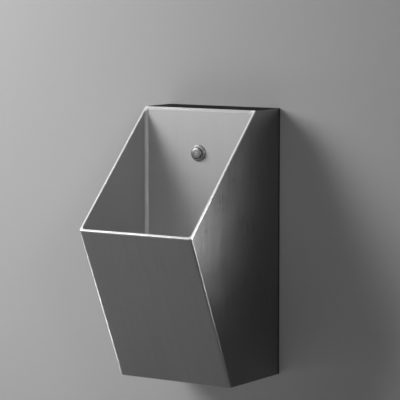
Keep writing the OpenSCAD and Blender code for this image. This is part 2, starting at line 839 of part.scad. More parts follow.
module trap_inlet_nut() color("whitesmoke") {
    translate([0, drain_y, trap_collar_z - collar_t - nut_lip])
        union_nut(neck_r, tail_r, nut_lip, nut_grip + collar_t, 12);
}

module trap_body() color("whitesmoke") {
    branch_start_y = drain_y + trap_r - trap_wall;
    difference() {
        union() {
            ring_z(trap_z, trap_top_z, trap_r);
            ring_z(trap_top_z - eps, trap_collar_z - eps, neck_r);
            ring_z(trap_collar_z - collar_t, trap_collar_z, tail_r);
            ring_y(branch_start_y - trap_wall, branch_end_y, outlet_z, tail_r);
        }
        ring_z(trap_z - cut, trap_top_z - trap_wall, trap_r - trap_wall);
        ring_z(trap_top_z - trap_wall - cut, trap_collar_z + cut, neck_r - trap_wall);
        ring_y(branch_start_y - 2 * trap_wall, branch_end_y + cut, outlet_z, tail_bore_r);
    }
}

module trap_dip_tube() color("white") {
    outer = neck_r - trap_wall - screw_fit;
    ring_z(cup_z + dip_tube_rise, trap_collar_z, outer, outer - dip_tube_t);
}

module trap_cup() color("whitesmoke") {
    difference() {
        union() {
            ring_z(cup_z, cup_top_z, cup_r);
            ring_z(cup_top_z - collar_t, cup_top_z, trap_r);
        }
        ring_z(cup_z + trap_wall, cup_top_z + cut, cup_r - trap_wall);
    }
}

module trap_cup_seal() color("#1c1c1c") ring_z(cup_top_z, trap_z, trap_r - 0.5, cup_r - trap_wall);

module trap_ring_nut() color("gainsboro") {
    lip_z = cup_top_z - collar_t - ring_nut_lip;
    grip = ring_nut_top_z - lip_z - ring_nut_lip;
    translate([0, drain_y, lip_z]) union_nut(cup_r, trap_r, ring_nut_lip, grip, 12);
}

module outlet_seal() color("#1c1c1c") ring_y(branch_end_y, outlet_collar_y, outlet_z, tail_r, tail_bore_r);

module outlet_union_nut() color("whitesmoke") {
    translate([0, outlet_collar_y + collar_t + nut_lip, outlet_z]) rotate([90, 0, 0])
        union_nut(neck_r, tail_r, nut_lip, nut_grip + collar_t, 12);
}

module outlet_pipe() color("lightgray") {
    collar_end_y = outlet_collar_y + collar_t;
    cone_y = collar_end_y + outlet_neck_l;
    tube_y = cone_y + outlet_cone_l;
    // a half outline turned about the pipe's axis: radius across, distance along the pipe up
    translate([0, 0, outlet_z]) rotate([-90, 0, 0]) rotate_extrude() polygon([
        [tail_bore_r, outlet_collar_y], [tail_r, outlet_collar_y], [tail_r, collar_end_y],
        [neck_r, collar_end_y], [neck_r, cone_y], [outlet_pipe_r, tube_y],
        [outlet_pipe_r, shoulder_y], [outlet_spigot_r, shoulder_y],
        [outlet_spigot_r, outlet_spigot_l - outlet_bevel_l],
        [outlet_spigot_r - outlet_wall / 2, outlet_spigot_l],
        [outlet_pipe_r - outlet_wall, outlet_spigot_l], [outlet_pipe_r - outlet_wall, tube_y],
        [tail_bore_r, cone_y]
    ]);
}

module outlet_wall_grommet() color("#1c1c1c") {
    ring_y(back_y - sheet_t, shoulder_y, outlet_z, outlet_pipe_r + grommet_w, outlet_pipe_r + screw_fit);
}

// Damping and earthing

module front_damping_pad() color("#2c2c2c") {
    on_front() translate([-casing_w / 2 + front_pad_inset, sheet_t, front_pad_rise])
        cube([casing_w - 2 * front_pad_inset, pad_t, front_pad_l]);
}

module side_damping_pads() color("#2c2c2c") {
    pad_z = crossbar_z + crossbar_h + side_pad_gap;
    for (side = [0, 1]) mirror([side, 0, 0])
        translate([inside_w / 2 - pad_t, bottom_front_y + 2 * side_pad_gap, pad_z])
            cube([pad_t, side_pad_w, recess_under_z - pad_z - 2 * side_pad_gap]);
}

module bowl_damping_pad() color("#2c2c2c") {
    translate([-casing_w / 2 + bowl_pad_inset, bowl_back_outer_y, floor_z + bowl_pad_gap])
        cube([casing_w - 2 * bowl_pad_inset, pad_t, spreader_z - floor_z - 2 * bowl_pad_gap]);
}

// the earthing point's place on the crossbar
module at_earth() {
    translate([inside_w / 2 - earth_inset, 0, 0]) children();
}

module earth_stud() color("darkgray") {
    at_earth() ring_y(crossbar_front_y - earth_stud_l, crossbar_front_y, crossbar_hole_z, earth_stud_r);
}

module earth_washer() color("darkgray") {
    at_earth() ring_y(crossbar_front_y - washer_t, crossbar_front_y, crossbar_hole_z,
        2 * earth_stud_r, earth_stud_r + screw_fit);
}

module earth_nut() color("goldenrod") {
    at_earth() translate([0, crossbar_front_y - washer_t, crossbar_hole_z]) rotate([90, 0, 0])
        difference() {
            hex_bar(earth_nut_w, earth_nut_h);
            translate([0, 0, -cut]) cylinder(r = earth_stud_r + screw_fit, h = earth_nut_h + 2 * cut);
        }
}

outer_shell();
rim_frame();
bowl();
top_cover();
bowl_stays();
hook_rail();
rear_crossbar();
wall_bracket();
wall_seal();
access_panel();
panel_hinge_leaf();
panel_hinge_pin();
panel_nut_tabs();
panel_weld_nuts();
panel_screw_left();
panel_screw_right();
spreader_body();
spreader_cap();
spreader_cap_screw();
spreader_gasket();
spreader_washer();
spreader_lock_nut();
inlet_seal();
inlet_union_nut();
inlet_pipe();
inlet_wall_grommet();
strainer();
waste_body();
waste_upper_gasket();
waste_lower_gasket();
waste_lock_nut();
trap_inlet_seal();
trap_inlet_nut();
trap_body();
trap_dip_tube();
trap_cup();
trap_cup_seal();
trap_ring_nut();
outlet_seal();
outlet_union_nut();
outlet_pipe();
outlet_wall_grommet();
front_damping_pad();
side_damping_pads();
bowl_damping_pad();
earth_stud();
earth_washer();
earth_nut();
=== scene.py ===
from math import cos, pi, radians, sin

import bmesh
import bpy
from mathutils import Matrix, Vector


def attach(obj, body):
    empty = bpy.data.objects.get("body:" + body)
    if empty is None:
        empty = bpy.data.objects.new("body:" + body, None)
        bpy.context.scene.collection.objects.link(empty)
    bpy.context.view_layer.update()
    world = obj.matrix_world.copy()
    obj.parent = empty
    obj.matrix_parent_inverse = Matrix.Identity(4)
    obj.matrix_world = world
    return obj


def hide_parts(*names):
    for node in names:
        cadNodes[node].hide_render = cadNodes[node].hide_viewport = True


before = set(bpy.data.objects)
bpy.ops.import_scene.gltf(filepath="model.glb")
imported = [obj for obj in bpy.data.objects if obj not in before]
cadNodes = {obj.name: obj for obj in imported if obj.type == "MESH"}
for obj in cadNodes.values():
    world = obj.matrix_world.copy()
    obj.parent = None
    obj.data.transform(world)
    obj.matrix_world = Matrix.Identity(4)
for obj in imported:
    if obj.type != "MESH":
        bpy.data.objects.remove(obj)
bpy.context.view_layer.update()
print("frame loaded:", len(cadNodes), "nodes")

axes = {"X": Vector((1, 0, 0)), "Y": Vector((0, 1, 0)), "Z": Vector((0, 0, 1))}
axisTurns = {"X": (0, pi / 2, 0), "Y": (-pi / 2, 0, 0), "Z": (0, 0, 0)}
near = 0.00001  # places closer than this count as one
mergeWithin = 0.000001
aligned = 0.999  # least cosine between a face's normal and the way it is taken to face
sheetEdge = 0.0002  # rounding of the sheets' cut edges
smallEdge = 0.0003


# ways of working on one mesh

def focus(piece):
    if bpy.context.object and bpy.context.object.mode != "OBJECT":
        bpy.ops.object.mode_set(mode="OBJECT")
    bpy.ops.object.select_all(action="DESELECT")
    if piece:
        piece.select_set(True)
        bpy.context.view_layer.objects.active = piece


def settle(name):
    piece = bpy.context.object
    piece.name = name
    bpy.ops.object.transform_apply(location=True, rotation=True, scale=True)
    return piece


def addBlock(name, low, high):
    focus(None)
    middle = [(a + b) / 2 for a, b in zip(low, high)]
    bpy.ops.mesh.primitive_cube_add(size=1, location=middle)
    bpy.context.object.scale = [b - a for a, b in zip(low, high)]
    return settle(name)


def addRod(name, radius, start, length, axis="Z", sides=48):
    focus(None)
    middle = Vector(start) + axes[axis] * (length / 2)
    bpy.ops.mesh.primitive_cylinder_add(
        vertices=sides, radius=radius, depth=length, location=middle, rotation=axisTurns[axis])
    return settle(name)


# goes into edit mode with what passes the test selected
def pick(piece, kind, test):
    focus(piece)
    bpy.ops.object.mode_set(mode="EDIT")
    bpy.ops.mesh.select_mode(type=kind)
    bpy.ops.mesh.select_all(action="DESELECT")
    mesh = bmesh.from_edit_mesh(piece.data)
    items = {"VERT": mesh.verts, "EDGE": mesh.edges, "FACE": mesh.faces}[kind]
    for item in items:
        if test(item):
            item.select_set(True)
    bmesh.update_edit_mesh(piece.data)


def leave():
    bpy.ops.object.mode_set(mode="OBJECT")


def everything(item):
    return True


def both(edge, test):
    return all(test(v.co) for v in edge.verts)


# an edge that runs up one side
def onSide(edge, wide, test):
    a, b = (v.co for v in edge.verts)
    return a.x * b.x > 0 and both(edge, lambda v: abs(v.x) > wide - near and test(v))


# removes what lies on the side that the normal points to
def cutAway(piece, point, normal, fill=True):
    pick(piece, "FACE", everything)
    bpy.ops.mesh.bisect(plane_co=point, plane_no=normal, use_fill=fill, clear_outer=True,
                        threshold=mergeWithin)
    if fill:
        bpy.ops.mesh.select_all(action="SELECT")
        bpy.ops.mesh.normals_make_consistent(inside=False)
    leave()


def splitFaces(piece, test, point, normal):
    pick(piece, "FACE", test)
    bpy.ops.mesh.bisect(plane_co=point, plane_no=normal, threshold=mergeWithin)
    leave()


def deleteFaces(piece, test):
    pick(piece, "FACE", test)
    bpy.ops.mesh.delete(type="FACE")
    leave()


def roundEdges(piece, test, radius, segments, profile=0.5):
    pick(piece, "EDGE", test)
    bpy.ops.mesh.bevel(offset=radius, segments=segments, profile=profile, clamp_overlap=False)
    leave()


def faceOut(piece):
    pick(piece, "FACE", everything)
    bpy.ops.mesh.remove_doubles(threshold=mergeWithin)
    bpy.ops.mesh.normals_make_consistent(inside=False)
    leave()


def applyModifier(piece, kind, **settings):
    focus(piece)
    modifier = piece.modifiers.new(kind.lower(), kind)
    for key, value in settings.items():
        setattr(modifier, key, value)
    bpy.ops.object.modifier_apply(modifier=modifier.name)


def thicken(piece, thickness, offset):
    applyModifier(piece, "SOLIDIFY", thickness=thickness, offset=offset, use_even_offset=True)


def combine(piece, other, operation):
    applyModifier(piece, "BOOLEAN", operation=operation, object=other, solver="EXACT")
    bpy.data.objects.remove(other)


def soften(piece, width, segments=2, angle=40):
    applyModifier(piece, "BEVEL", width=width, segments=segments, limit_method="ANGLE",
                  angle_limit=radians(angle), use_clamp_overlap=True)


def joinAll(pieces, name):
    focus(pieces[0])
    for piece in pieces:
        piece.select_set(True)
    bpy.context.view_layer.objects.active = pieces[0]
    bpy.ops.object.join()
    pieces[0].name = name
    return pieces[0]


# a lathe shape: the ring is extruded along the axis and resized, step by step round its section
def turnShape(name, centre, axis, section, sides=72, closed=True):
    focus(None)
    centre = Vector(centre)
    along = axes[axis]
    radius, place = section[0]
    bpy.ops.mesh.primitive_circle_add(
        vertices=sides, radius=radius, location=centre + along * place, rotation=axisTurns[axis])
    piece = settle(name)
    bpy.ops.object.mode_set(mode="EDIT")
    bpy.ops.mesh.select_mode(type="EDGE")
    bpy.ops.mesh.select_all(action="SELECT")
    for nextRadius, nextPlace in section[1:]:
        step = along * (nextPlace - place)
        bpy.ops.mesh.extrude_region_move(TRANSFORM_OT_translate={"value": step})
        if nextRadius != radius:
            bpy.ops.transform.resize(value=[nextRadius / radius] * 3,
                                     center_override=centre + along * nextPlace)
        radius, place = nextRadius, nextPlace
    bpy.ops.mesh.select_all(action="SELECT")
    if closed:
        bpy.ops.mesh.remove_doubles(threshold=mergeWithin)
    else:
        bpy.ops.mesh.fill_holes(sides=0)
    bpy.ops.mesh.select_all(action="SELECT")
    bpy.ops.mesh.normals_make_consistent(inside=False)
    leave()
    return piece


def finishPiece(piece, body, surface, nodes, smooth=35):
    focus(piece)
    bpy.ops.object.shade_smooth_by_angle(angle=radians(smooth))
    applyModifier(piece, "WEIGHTED_NORMAL", keep_sharp=True, weight=80)
    piece.data.materials.clear()
    piece.data.materials.append(surface)
    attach(piece, body)
    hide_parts(*nodes)


# a merged copy of a CAD mesh
def bareCopy(node, name):
    piece = bpy.data.objects.new(name, cadNodes[node].data.copy())
    bpy.context.scene.collection.objects.link(piece)
    pick(piece, "FACE", everything)
    bpy.ops.mesh.remove_doubles(threshold=mergeWithin)
    bpy.ops.mesh.dissolve_limited(angle_limit=radians(0.5))
    leave()
    return piece


# for small parts that only need softer edges
def softCopy(node, name, body, surface, width):
    piece = bareCopy(node, name)
    soften(piece, width, 2, 35)
    finishPiece(piece, body, surface, [node])


# shader groups

def newGroup(name, inputs, outputs):
    tree = bpy.data.node_groups.new(name, "ShaderNodeTree")
    for label, value in inputs.items():
        socket = tree.interface.new_socket(label, in_out="INPUT", socket_type="NodeSocketFloat")
        socket.default_value = value
    for label in outputs:
        tree.interface.new_socket(label, in_out="OUTPUT", socket_type="NodeSocketFloat")
    return tree, tree.nodes.new("NodeGroupInput").outputs, tree.nodes.new("NodeGroupOutput").inputs


def addNode(tree, kind, feeds=None, **settings):
    node = tree.nodes.new(kind)
    for key, value in settings.items():
        setattr(node, key, value)
    for key, value in (feeds or {}).items():
        if isinstance(value, bpy.types.NodeSocket):
            tree.links.new(value, node.inputs[key])
        else:
            node.inputs[key].default_value = value
    return node


def sums(tree, operation, a, b=0.0):
    return addNode(tree, "ShaderNodeMath", {0: a, 1: b}, operation=operation).outputs[0]


def remap(tree, value, low, high, newLow, newHigh):
    return addNode(tree, "ShaderNodeMapRange", {
        "Value": value, "From Min": low, "From Max": high, "To Min": newLow, "To Max": newHigh,
    }).outputs[0]


def noise(tree, vector, scale, detail=3.0, rough=0.55):
    return addNode(tree, "ShaderNodeTexNoise", {
        "Vector": vector, "Scale": scale, "Detail": detail, "Roughness": rough,
    }).outputs["Fac"]


# lines ground into a sheet: upright on walls, front to back on level faces
def makeGrainGroup():
    tree, given, result = newGroup("groundLines", {
        "Lines per m": 2400, "Bands per m": 60, "Run": 9.0,
    }, ["Fine", "Bands", "Height"])
    coordinates = addNode(tree, "ShaderNodeTexCoord")
    place = addNode(tree, "ShaderNodeSeparateXYZ", {0: coordinates.outputs["Object"]}).outputs
    facing = addNode(tree, "ShaderNodeSeparateXYZ", {0: coordinates.outputs["Normal"]}).outputs
    side = remap(tree, sums(tree, "ABSOLUTE", facing[0]), 0.6, 0.8, 0.0, 1.0)
    across = addNode(tree, "ShaderNodeMix", {"Factor": side, "A": place[0], "B": place[1]}).outputs[0]
    along = sums(tree, "ADD", place[2], sums(tree, "MULTIPLY", place[1], 0.6))

    def lines(perMetre, run):
        vector = addNode(tree, "ShaderNodeCombineXYZ", {
            0: sums(tree, "MULTIPLY", across, perMetre), 1: sums(tree, "MULTIPLY", along, run)})
        return noise(tree, vector.outputs[0], 1.0, 3.0, 0.6)

    fine = lines(given["Lines per m"], given["Run"])
    middle = lines(sums(tree, "MULTIPLY", given["Bands per m"], 7),
                   sums(tree, "MULTIPLY", given["Run"], 0.4))
    broad = lines(given["Bands per m"], sums(tree, "MULTIPLY", given["Run"], 0.15))
    bands = addNode(tree, "ShaderNodeMix", {"Factor": 0.4, "A": broad, "B": middle}).outputs[0]
    tree.links.new(fine, result["Fine"])
    tree.links.new(bands, result["Bands"])
    height = addNode(tree, "ShaderNodeMix", {"Factor": 0.25, "A": fine, "B": middle}).outputs[0]
    tree.links.new(height, result["Height"])
    return tree


# cloudy marks left by cleaning and hands
def makeMarksGroup():
    tree, given, result = newGroup("wipeMarks", {"Size per m": 9.0, "Cover": 0.5}, ["Marks"])
    place = addNode(tree, "ShaderNodeTexCoord").outputs["Object"]
    large = noise(tree, place, given["Size per m"], 4.0, 0.6)
    small = noise(tree, place, sums(tree, "MULTIPLY", given["Size per m"], 9), 2.0, 0.5)
    cloud = addNode(tree, "ShaderNodeMix", {"Factor": 0.3, "A": large, "B": small}).outputs[0]
    edge = sums(tree, "SUBTRACT", 0.85, sums(tree, "MULTIPLY", given["Cover"], 0.6))
    low, high = sums(tree, "SUBTRACT", edge, 0.12), sums(tree, "ADD", edge, 0.12)
    tree.links.new(remap(tree, cloud, low, high, 0.0, 1.0), result["Marks"])
    return tree


# where a surface turns within a small distance; the steels lighten these edges, partly as wear and partly
# as a painted highlight
def makeEdgeGroup():
    tree, given, result = newGroup("wornAndHighlitEdges", {"Width": 0.0008, "Breakup": 0.3}, ["Edge"])
    bent = addNode(tree, "ShaderNodeBevel", {"Radius": given["Width"]}, samples=4)
    flat = addNode(tree, "ShaderNodeNewGeometry").outputs["Normal"]
    turn = addNode(tree, "ShaderNodeVectorMath", {0: bent.outputs[0], 1: flat}, operation="DOT_PRODUCT")
    mask = remap(tree, turn.outputs["Value"], 0.995, 0.9, 0.0, 1.0)
    place = addNode(tree, "ShaderNodeTexCoord").outputs["Object"]
    broken = sums(tree, "MULTIPLY", noise(tree, place, 120.0), given["Breakup"])
    clipped = addNode(tree, "ShaderNodeMath", {0: mask, 1: broken}, operation="SUBTRACT", use_clamp=True)
    tree.links.new(clipped.outputs[0], result["Edge"])
    return tree


# fine pebbled skin of mouldings, castings and rubber
def makeSkinGroup():
    tree, given, result = newGroup("mouldedSkin", {
        "Grains per m": 900.0, "Flow per m": 14.0,
    }, ["Tone", "Height"])
    place = addNode(tree, "ShaderNodeTexCoord").outputs["Object"]
    grains = noise(tree, place, given["Grains per m"], 2.0, 0.5)
    flow = noise(tree, place, given["Flow per m"], 3.0, 0.5)
    tone = addNode(tree, "ShaderNodeMix", {"Factor": 0.6, "A": grains, "B": flow}).outputs[0]
    tree.links.new(tone, result["Tone"])
    tree.links.new(grains, result["Height"])
    return tree


# crystals of a zinc layer
def makeZincGroup():
    tree, given, result = newGroup("zincFlakes", {"Flakes per m": 260.0}, ["Flake", "Seam"])
    place = addNode(tree, "ShaderNodeTexCoord").outputs["Object"]
    cells = addNode(tree, "ShaderNodeTexVoronoi", {"Vector": place, "Scale": given["Flakes per m"]})
    tone = addNode(tree, "ShaderNodeSeparateColor", {0: cells.outputs["Color"]}).outputs[0]
    tree.links.new(tone, result["Flake"])
    tree.links.new(remap(tree, cells.outputs["Distance"], 0.0, 0.7, 0.0, 1.0), result["Seam"])
    return tree


grainGroup = makeGrainGroup()
marksGroup = makeMarksGroup()
edgeGroup = makeEdgeGroup()
skinGroup = makeSkinGroup()
zincGroup = makeZincGroup()
print("shader groups made")


# main sizes of the casing and the plane of its opening

shell = {
    "halfWidth": 0.150, "back": -0.004, "bottomFront": -0.208, "topFront": -0.106,
    "lipY": -0.367, "lipZ": 0.350, "height": 0.614, "sheet": 0.0015,
    "frontBend": 0.010, "sideBend": 0.004, "rearBend": 0.003, "bottomBend": 0.002, "bendSteps": 14,
    "backFlange": 0.020, "bottomFlange": 0.015, "blockFront": -0.42,
}
lip = Vector((0, shell["lipY"], shell["lipZ"]))
frontFoot = Vector((0, shell["bottomFront"], 0))
frontOut = axes["X"].cross(lip - frontFoot).normalized()
openingRun = Vector((0, shell["topFront"], shell["height"])) - lip
openingLength = openingRun.length
openingUp = openingRun.normalized()
openingOut = axes["X"].cross(openingUp).normalized()
if frontOut.y > 0:
    frontOut.negate()
if openingOut.z < 0:
    openingOut.negate()


# materials

def newMaterial(name, metallic):
    surface = bpy.data.materials.new(name)
    surface.use_nodes = True
    shader = surface.node_tree.nodes["Principled BSDF"]
    shader.inputs["Metallic"].default_value = metallic
    return surface, surface.node_tree, shader


def groupNode(tree, group, values):
    node = tree.nodes.new("ShaderNodeGroup")
    node.node_tree = group
    for key, value in values.items():
        node.inputs[key].default_value = value
    return node.outputs


# sockets 6 and 7 are the two colours of a mix, and its output 2 is the colour
def blendColours(tree, factor, dark, light):
    mix = addNode(tree, "ShaderNodeMix", {"Factor": factor, 6: dark, 7: light}, data_type="RGBA")
    return mix.outputs[2]


def grey(value, warmth=0.0):
    return (value * (1 + warmth), value, value * (1 - warmth), 1.0)


def bump(tree, shader, height, strength, distance):
    node = addNode(tree, "ShaderNodeBump", {"Strength": strength, "Distance": distance, "Height": height})
    tree.links.new(node.outputs[0], shader.inputs["Normal"])


def makeSteel(name, look):
    surface, tree, shader = newMaterial(name, 1.0)
    # a low tint here dims the reflections: painted shade
    shader.inputs["Specular Tint"].default_value = grey(look.get("reflectionShadeTint", 1.0))
    grain = groupNode(tree, grainGroup, {"Lines per m": look["lines"], "Bands per m": look["bands"]})
    marks = groupNode(tree, marksGroup, {"Size per m": look["marks"], "Cover": 0.55})
    edges = groupNode(tree, edgeGroup, {"Width": look["edge"]})
    tone = sums(tree, "ADD", sums(tree, "MULTIPLY", grain["Fine"], 0.45),
                sums(tree, "MULTIPLY", grain["Bands"], 0.55))
    tone = remap(tree, tone, 0.3, 0.7, 0.0, 1.0)
    base = look["tone"]
    dark, light = grey(base * (1 - look["contrast"])), grey(base * (1 + look["contrast"]))
    # edges are lightened towards edgeTone: partly real wear, partly a painted highlight along the edges
    wearAndHighlight = sums(tree, "MULTIPLY", edges["Edge"], look["wearAndHighlight"])
    colour = blendColours(tree, wearAndHighlight, blendColours(tree, tone, dark, light), grey(look["edgeTone"]))
    tree.links.new(colour, shader.inputs["Base Color"])
    rough = remap(tree, grain["Fine"], 0.3, 0.7, look["rough"] - 0.05, look["rough"] + 0.05)
    rough = sums(tree, "ADD", rough, sums(tree, "MULTIPLY", marks["Marks"], 0.05))
    tree.links.new(rough, shader.inputs["Roughness"])
    bump(tree, shader, grain["Height"], look["bump"], 0.0001)
    return surface


# bright along the sides and at the top corners, a darker strip along the front edge, satin on the rest: the
# bright strips are partly real polish and partly a painted highlight, and the darker front strip is painted
# shade
def makeRimSteel(look):
    surface, tree, shader = newMaterial("rimSteel", 1.0)
    grain = groupNode(tree, grainGroup, {"Lines per m": look["lines"], "Bands per m": look["bands"]})
    marks = groupNode(tree, marksGroup, {"Size per m": look["marks"], "Cover": 0.55})
    place = addNode(tree, "ShaderNodeTexCoord").outputs["Object"]
    across = sums(tree, "ABSOLUTE", addNode(tree, "ShaderNodeSeparateXYZ", {0: place}).outputs[0])
    upward = addNode(tree, "ShaderNodeVectorMath", {0: place, 1: openingUp}, operation="DOT_PRODUCT")
    slope = sums(tree, "SUBTRACT", upward.outputs["Value"], lip.dot(openingUp))
    soft, softCorner = look["blend"], look["cornerBlend"]
    side = remap(tree, across, look["sideFrom"] - soft, look["sideFrom"] + soft, 0, 1)
    below = remap(tree, slope, openingLength - look["topFrom"], openingLength - look["topTo"], 1, 0)
    corner = remap(tree, across, look["cornerFrom"] - softCorner, look["cornerFrom"] + softCorner, 0, 1)
    side = sums(tree, "MULTIPLY", sums(tree, "MAXIMUM", side, sums(tree, "SUBTRACT", 1.0, below)),
                sums(tree, "MAXIMUM", below, corner))
    front = remap(tree, slope, look["frontTo"] - soft, look["frontTo"] + soft, 1, 0)
    polishedAndHighlit = sums(tree, "MAXIMUM", side, front)
    line = remap(tree, grain["Fine"], 0.3, 0.7, 0, 1)
    satin = blendColours(tree, line, grey(look["satin"] * 0.94), grey(look["satin"] * 1.06))
    # the side strips' bright tone is partly a painted highlight; the front strip's low tone is painted
    # shade
    paintedStripTone = blendColours(tree, front, grey(look["tone"]), grey(look["frontTone"]))
    tree.links.new(blendColours(tree, polishedAndHighlit, satin, paintedStripTone), shader.inputs["Base Color"])
    rough = remap(tree, polishedAndHighlit, 0, 1, look["satinRough"], look["rough"])
    rough = sums(tree, "ADD", rough, sums(tree, "MULTIPLY", marks["Marks"], 0.04))
    tree.links.new(rough, shader.inputs["Roughness"])
    bump(tree, shader, grain["Height"], look["bump"], 0.0001)
    return surface


def makeZinc():
    surface, tree, shader = newMaterial("zincPlate", 1.0)
    flakes = groupNode(tree, zincGroup, {"Flakes per m": 220.0})
    marks = groupNode(tree, marksGroup, {"Size per m": 30.0, "Cover": 0.5})
    colour = blendColours(tree, flakes["Flake"], grey(0.42, -0.01), grey(0.62, -0.02))
    tree.links.new(colour, shader.inputs["Base Color"])
    rough = sums(tree, "ADD", remap(tree, flakes["Flake"], 0, 1, 0.32, 0.45),
                 sums(tree, "MULTIPLY", marks["Marks"], 0.1))
    tree.links.new(rough, shader.inputs["Roughness"])
    bump(tree, shader, flakes["Seam"], 0.15, 0.0001)
    return surface


def makeMoulded(name, look):
    surface, tree, shader = newMaterial(name, 0.0)
    skin = groupNode(tree, skinGroup, {"Grains per m": look["grains"]})
    colour = blendColours(tree, skin["Tone"], look["dark"], look["light"])
    tree.links.new(colour, shader.inputs["Base Color"])
    rough = remap(tree, skin["Tone"], 0.3, 0.7, look["rough"] - 0.06, look["rough"] + 0.06)
    tree.links.new(rough, shader.inputs["Roughness"])
    bump(tree, shader, skin["Height"], look["bump"], 0.0002)
    return surface


def makeBright(name, dark, light, rough):
    surface, tree, shader = newMaterial(name, 1.0)
    marks = groupNode(tree, marksGroup, {"Size per m": 45.0, "Cover": 0.55})
    skin = groupNode(tree, skinGroup, {"Grains per m": 700.0})
    tree.links.new(blendColours(tree, skin["Tone"], dark, light), shader.inputs["Base Color"])
    tree.links.new(remap(tree, marks["Marks"], 0, 1, rough, rough + 0.08), shader.inputs["Roughness"])
    bump(tree, shader, skin["Height"], 0.03, 0.0001)
    return surface


steelLooks = {
    # the casing's tone is set well below that of bare steel: painted shade standing in for dark
    # surroundings reflected in it
    "casing": {"tone": 0.215, "contrast": 0.1, "rough": 0.30, "lines": 2400, "bands": 55, "marks": 8,
               "edge": 0.0009, "wearAndHighlight": 0.5, "edgeTone": 0.62, "bump": 0.12},
    # the cover is made nearly black, and its low tint dims its grazing reflections: painted shade; its
    # lighter edges are a painted highlight
    "cover": {"tone": 0.08, "reflectionShadeTint": 0.06, "contrast": 0.1, "rough": 0.34, "lines": 2400, "bands": 55,
              "marks": 8, "edge": 0.0009, "wearAndHighlight": 0.7, "edgeTone": 0.8, "bump": 0.12},
    "bowl": {"tone": 0.50, "contrast": 0.06, "rough": 0.52, "lines": 2000, "bands": 45, "marks": 7,
             "edge": 0.0009, "wearAndHighlight": 0.3, "edgeTone": 0.75, "bump": 0.1},
    # rim: tone is the bright side strips, partly real polish and partly a painted highlight; frontTone is
    # the darker front strip, painted shade
    "rim": {"tone": 0.92, "frontTone": 0.42, "satin": 0.66, "rough": 0.22, "satinRough": 0.4, "lines": 1800,
            "bands": 80, "marks": 12, "bump": 0.05, "sideFrom": 0.1462, "cornerFrom": 0.139,
            "frontTo": 0.0016, "topFrom": 0.0068, "topTo": 0.0060, "blend": 0.0004, "cornerBlend": 0.001},
    "plain": {"tone": 0.46, "contrast": 0.12, "rough": 0.42, "lines": 900, "bands": 40, "marks": 20,
              "edge": 0.0006, "wearAndHighlight": 0.3, "edgeTone": 0.7, "bump": 0.12},
}
shadeDarkenedCasingSteel = makeSteel("shadeDarkenedCasingSteel", steelLooks["casing"])
shadeDarkenedCoverSteel = makeSteel("shadeDarkenedCoverSteel", steelLooks["cover"])
bowlSteel = makeSteel("bowlSteel", steelLooks["bowl"])
rimSteel = makeRimSteel(steelLooks["rim"])
plainSteel = makeSteel("plainSteel", steelLooks["plain"])
zincPlate = makeZinc()
chromePlate = makeBright("chromePlate", grey(0.66), grey(0.74), 0.1)
# the spreader's chrome is a darker copy of chromePlate: painted shade standing in for a dark reflection
shadeDarkenedSpreaderChrome = makeBright("shadeDarkenedSpreaderChrome", grey(0.30), grey(0.38), 0.36)
brassMetal = makeBright("brassMetal", (0.56, 0.40, 0.17, 1), (0.72, 0.54, 0.25, 1), 0.24)
blackRubber = makeMoulded("blackRubber", {"dark": grey(0.018), "light": grey(0.032), "rough": 0.62,
                                          "grains": 1400.0, "bump": 0.35})
whitePlastic = makeMoulded("whitePlastic", {"dark": grey(0.74, 0.01), "light": grey(0.82, 0.01),
                                            "rough": 0.36, "grains": 700.0, "bump": 0.06})
greyPlastic = makeMoulded("greyPlastic", {"dark": grey(0.27, -0.01), "light": grey(0.34, -0.01),
                                          "rough": 0.42, "grains": 800.0, "bump": 0.08})
dampingFelt = makeMoulded("dampingFelt", {"dark": grey(0.02), "light": grey(0.07), "rough": 0.85,
                                          "grains": 900.0, "bump": 0.8})
print("materials made")


# casing

def onFront(co, inset=0.0):
    return abs((co - frontFoot).dot(frontOut) + inset) < 2 * near


# the block behind the slanted front, drawn in from the outer faces; its bends run further
# across the front than along the sides
def frontBlock(name, inset, rear, low, high, across, deep, steps):
    wide = shell["halfWidth"] - inset
    narrow = wide - across + deep
    piece = addBlock(name, (-narrow, shell["blockFront"], low), (narrow, rear, high))
    cutAway(piece, frontFoot - frontOut * inset, frontOut)
    roundEdges(piece, lambda e: onSide(e, narrow, lambda v: onFront(v, inset)), deep, steps)
    for side in (-1, 1):
        start = narrow - deep
        pick(piece, "VERT", lambda v: v.co.x * side > start + mergeWithin)
        bpy.ops.transform.resize(value=(across / deep, 1, 1), center_override=(side * start, 0, 0))
        leave()
    return piece


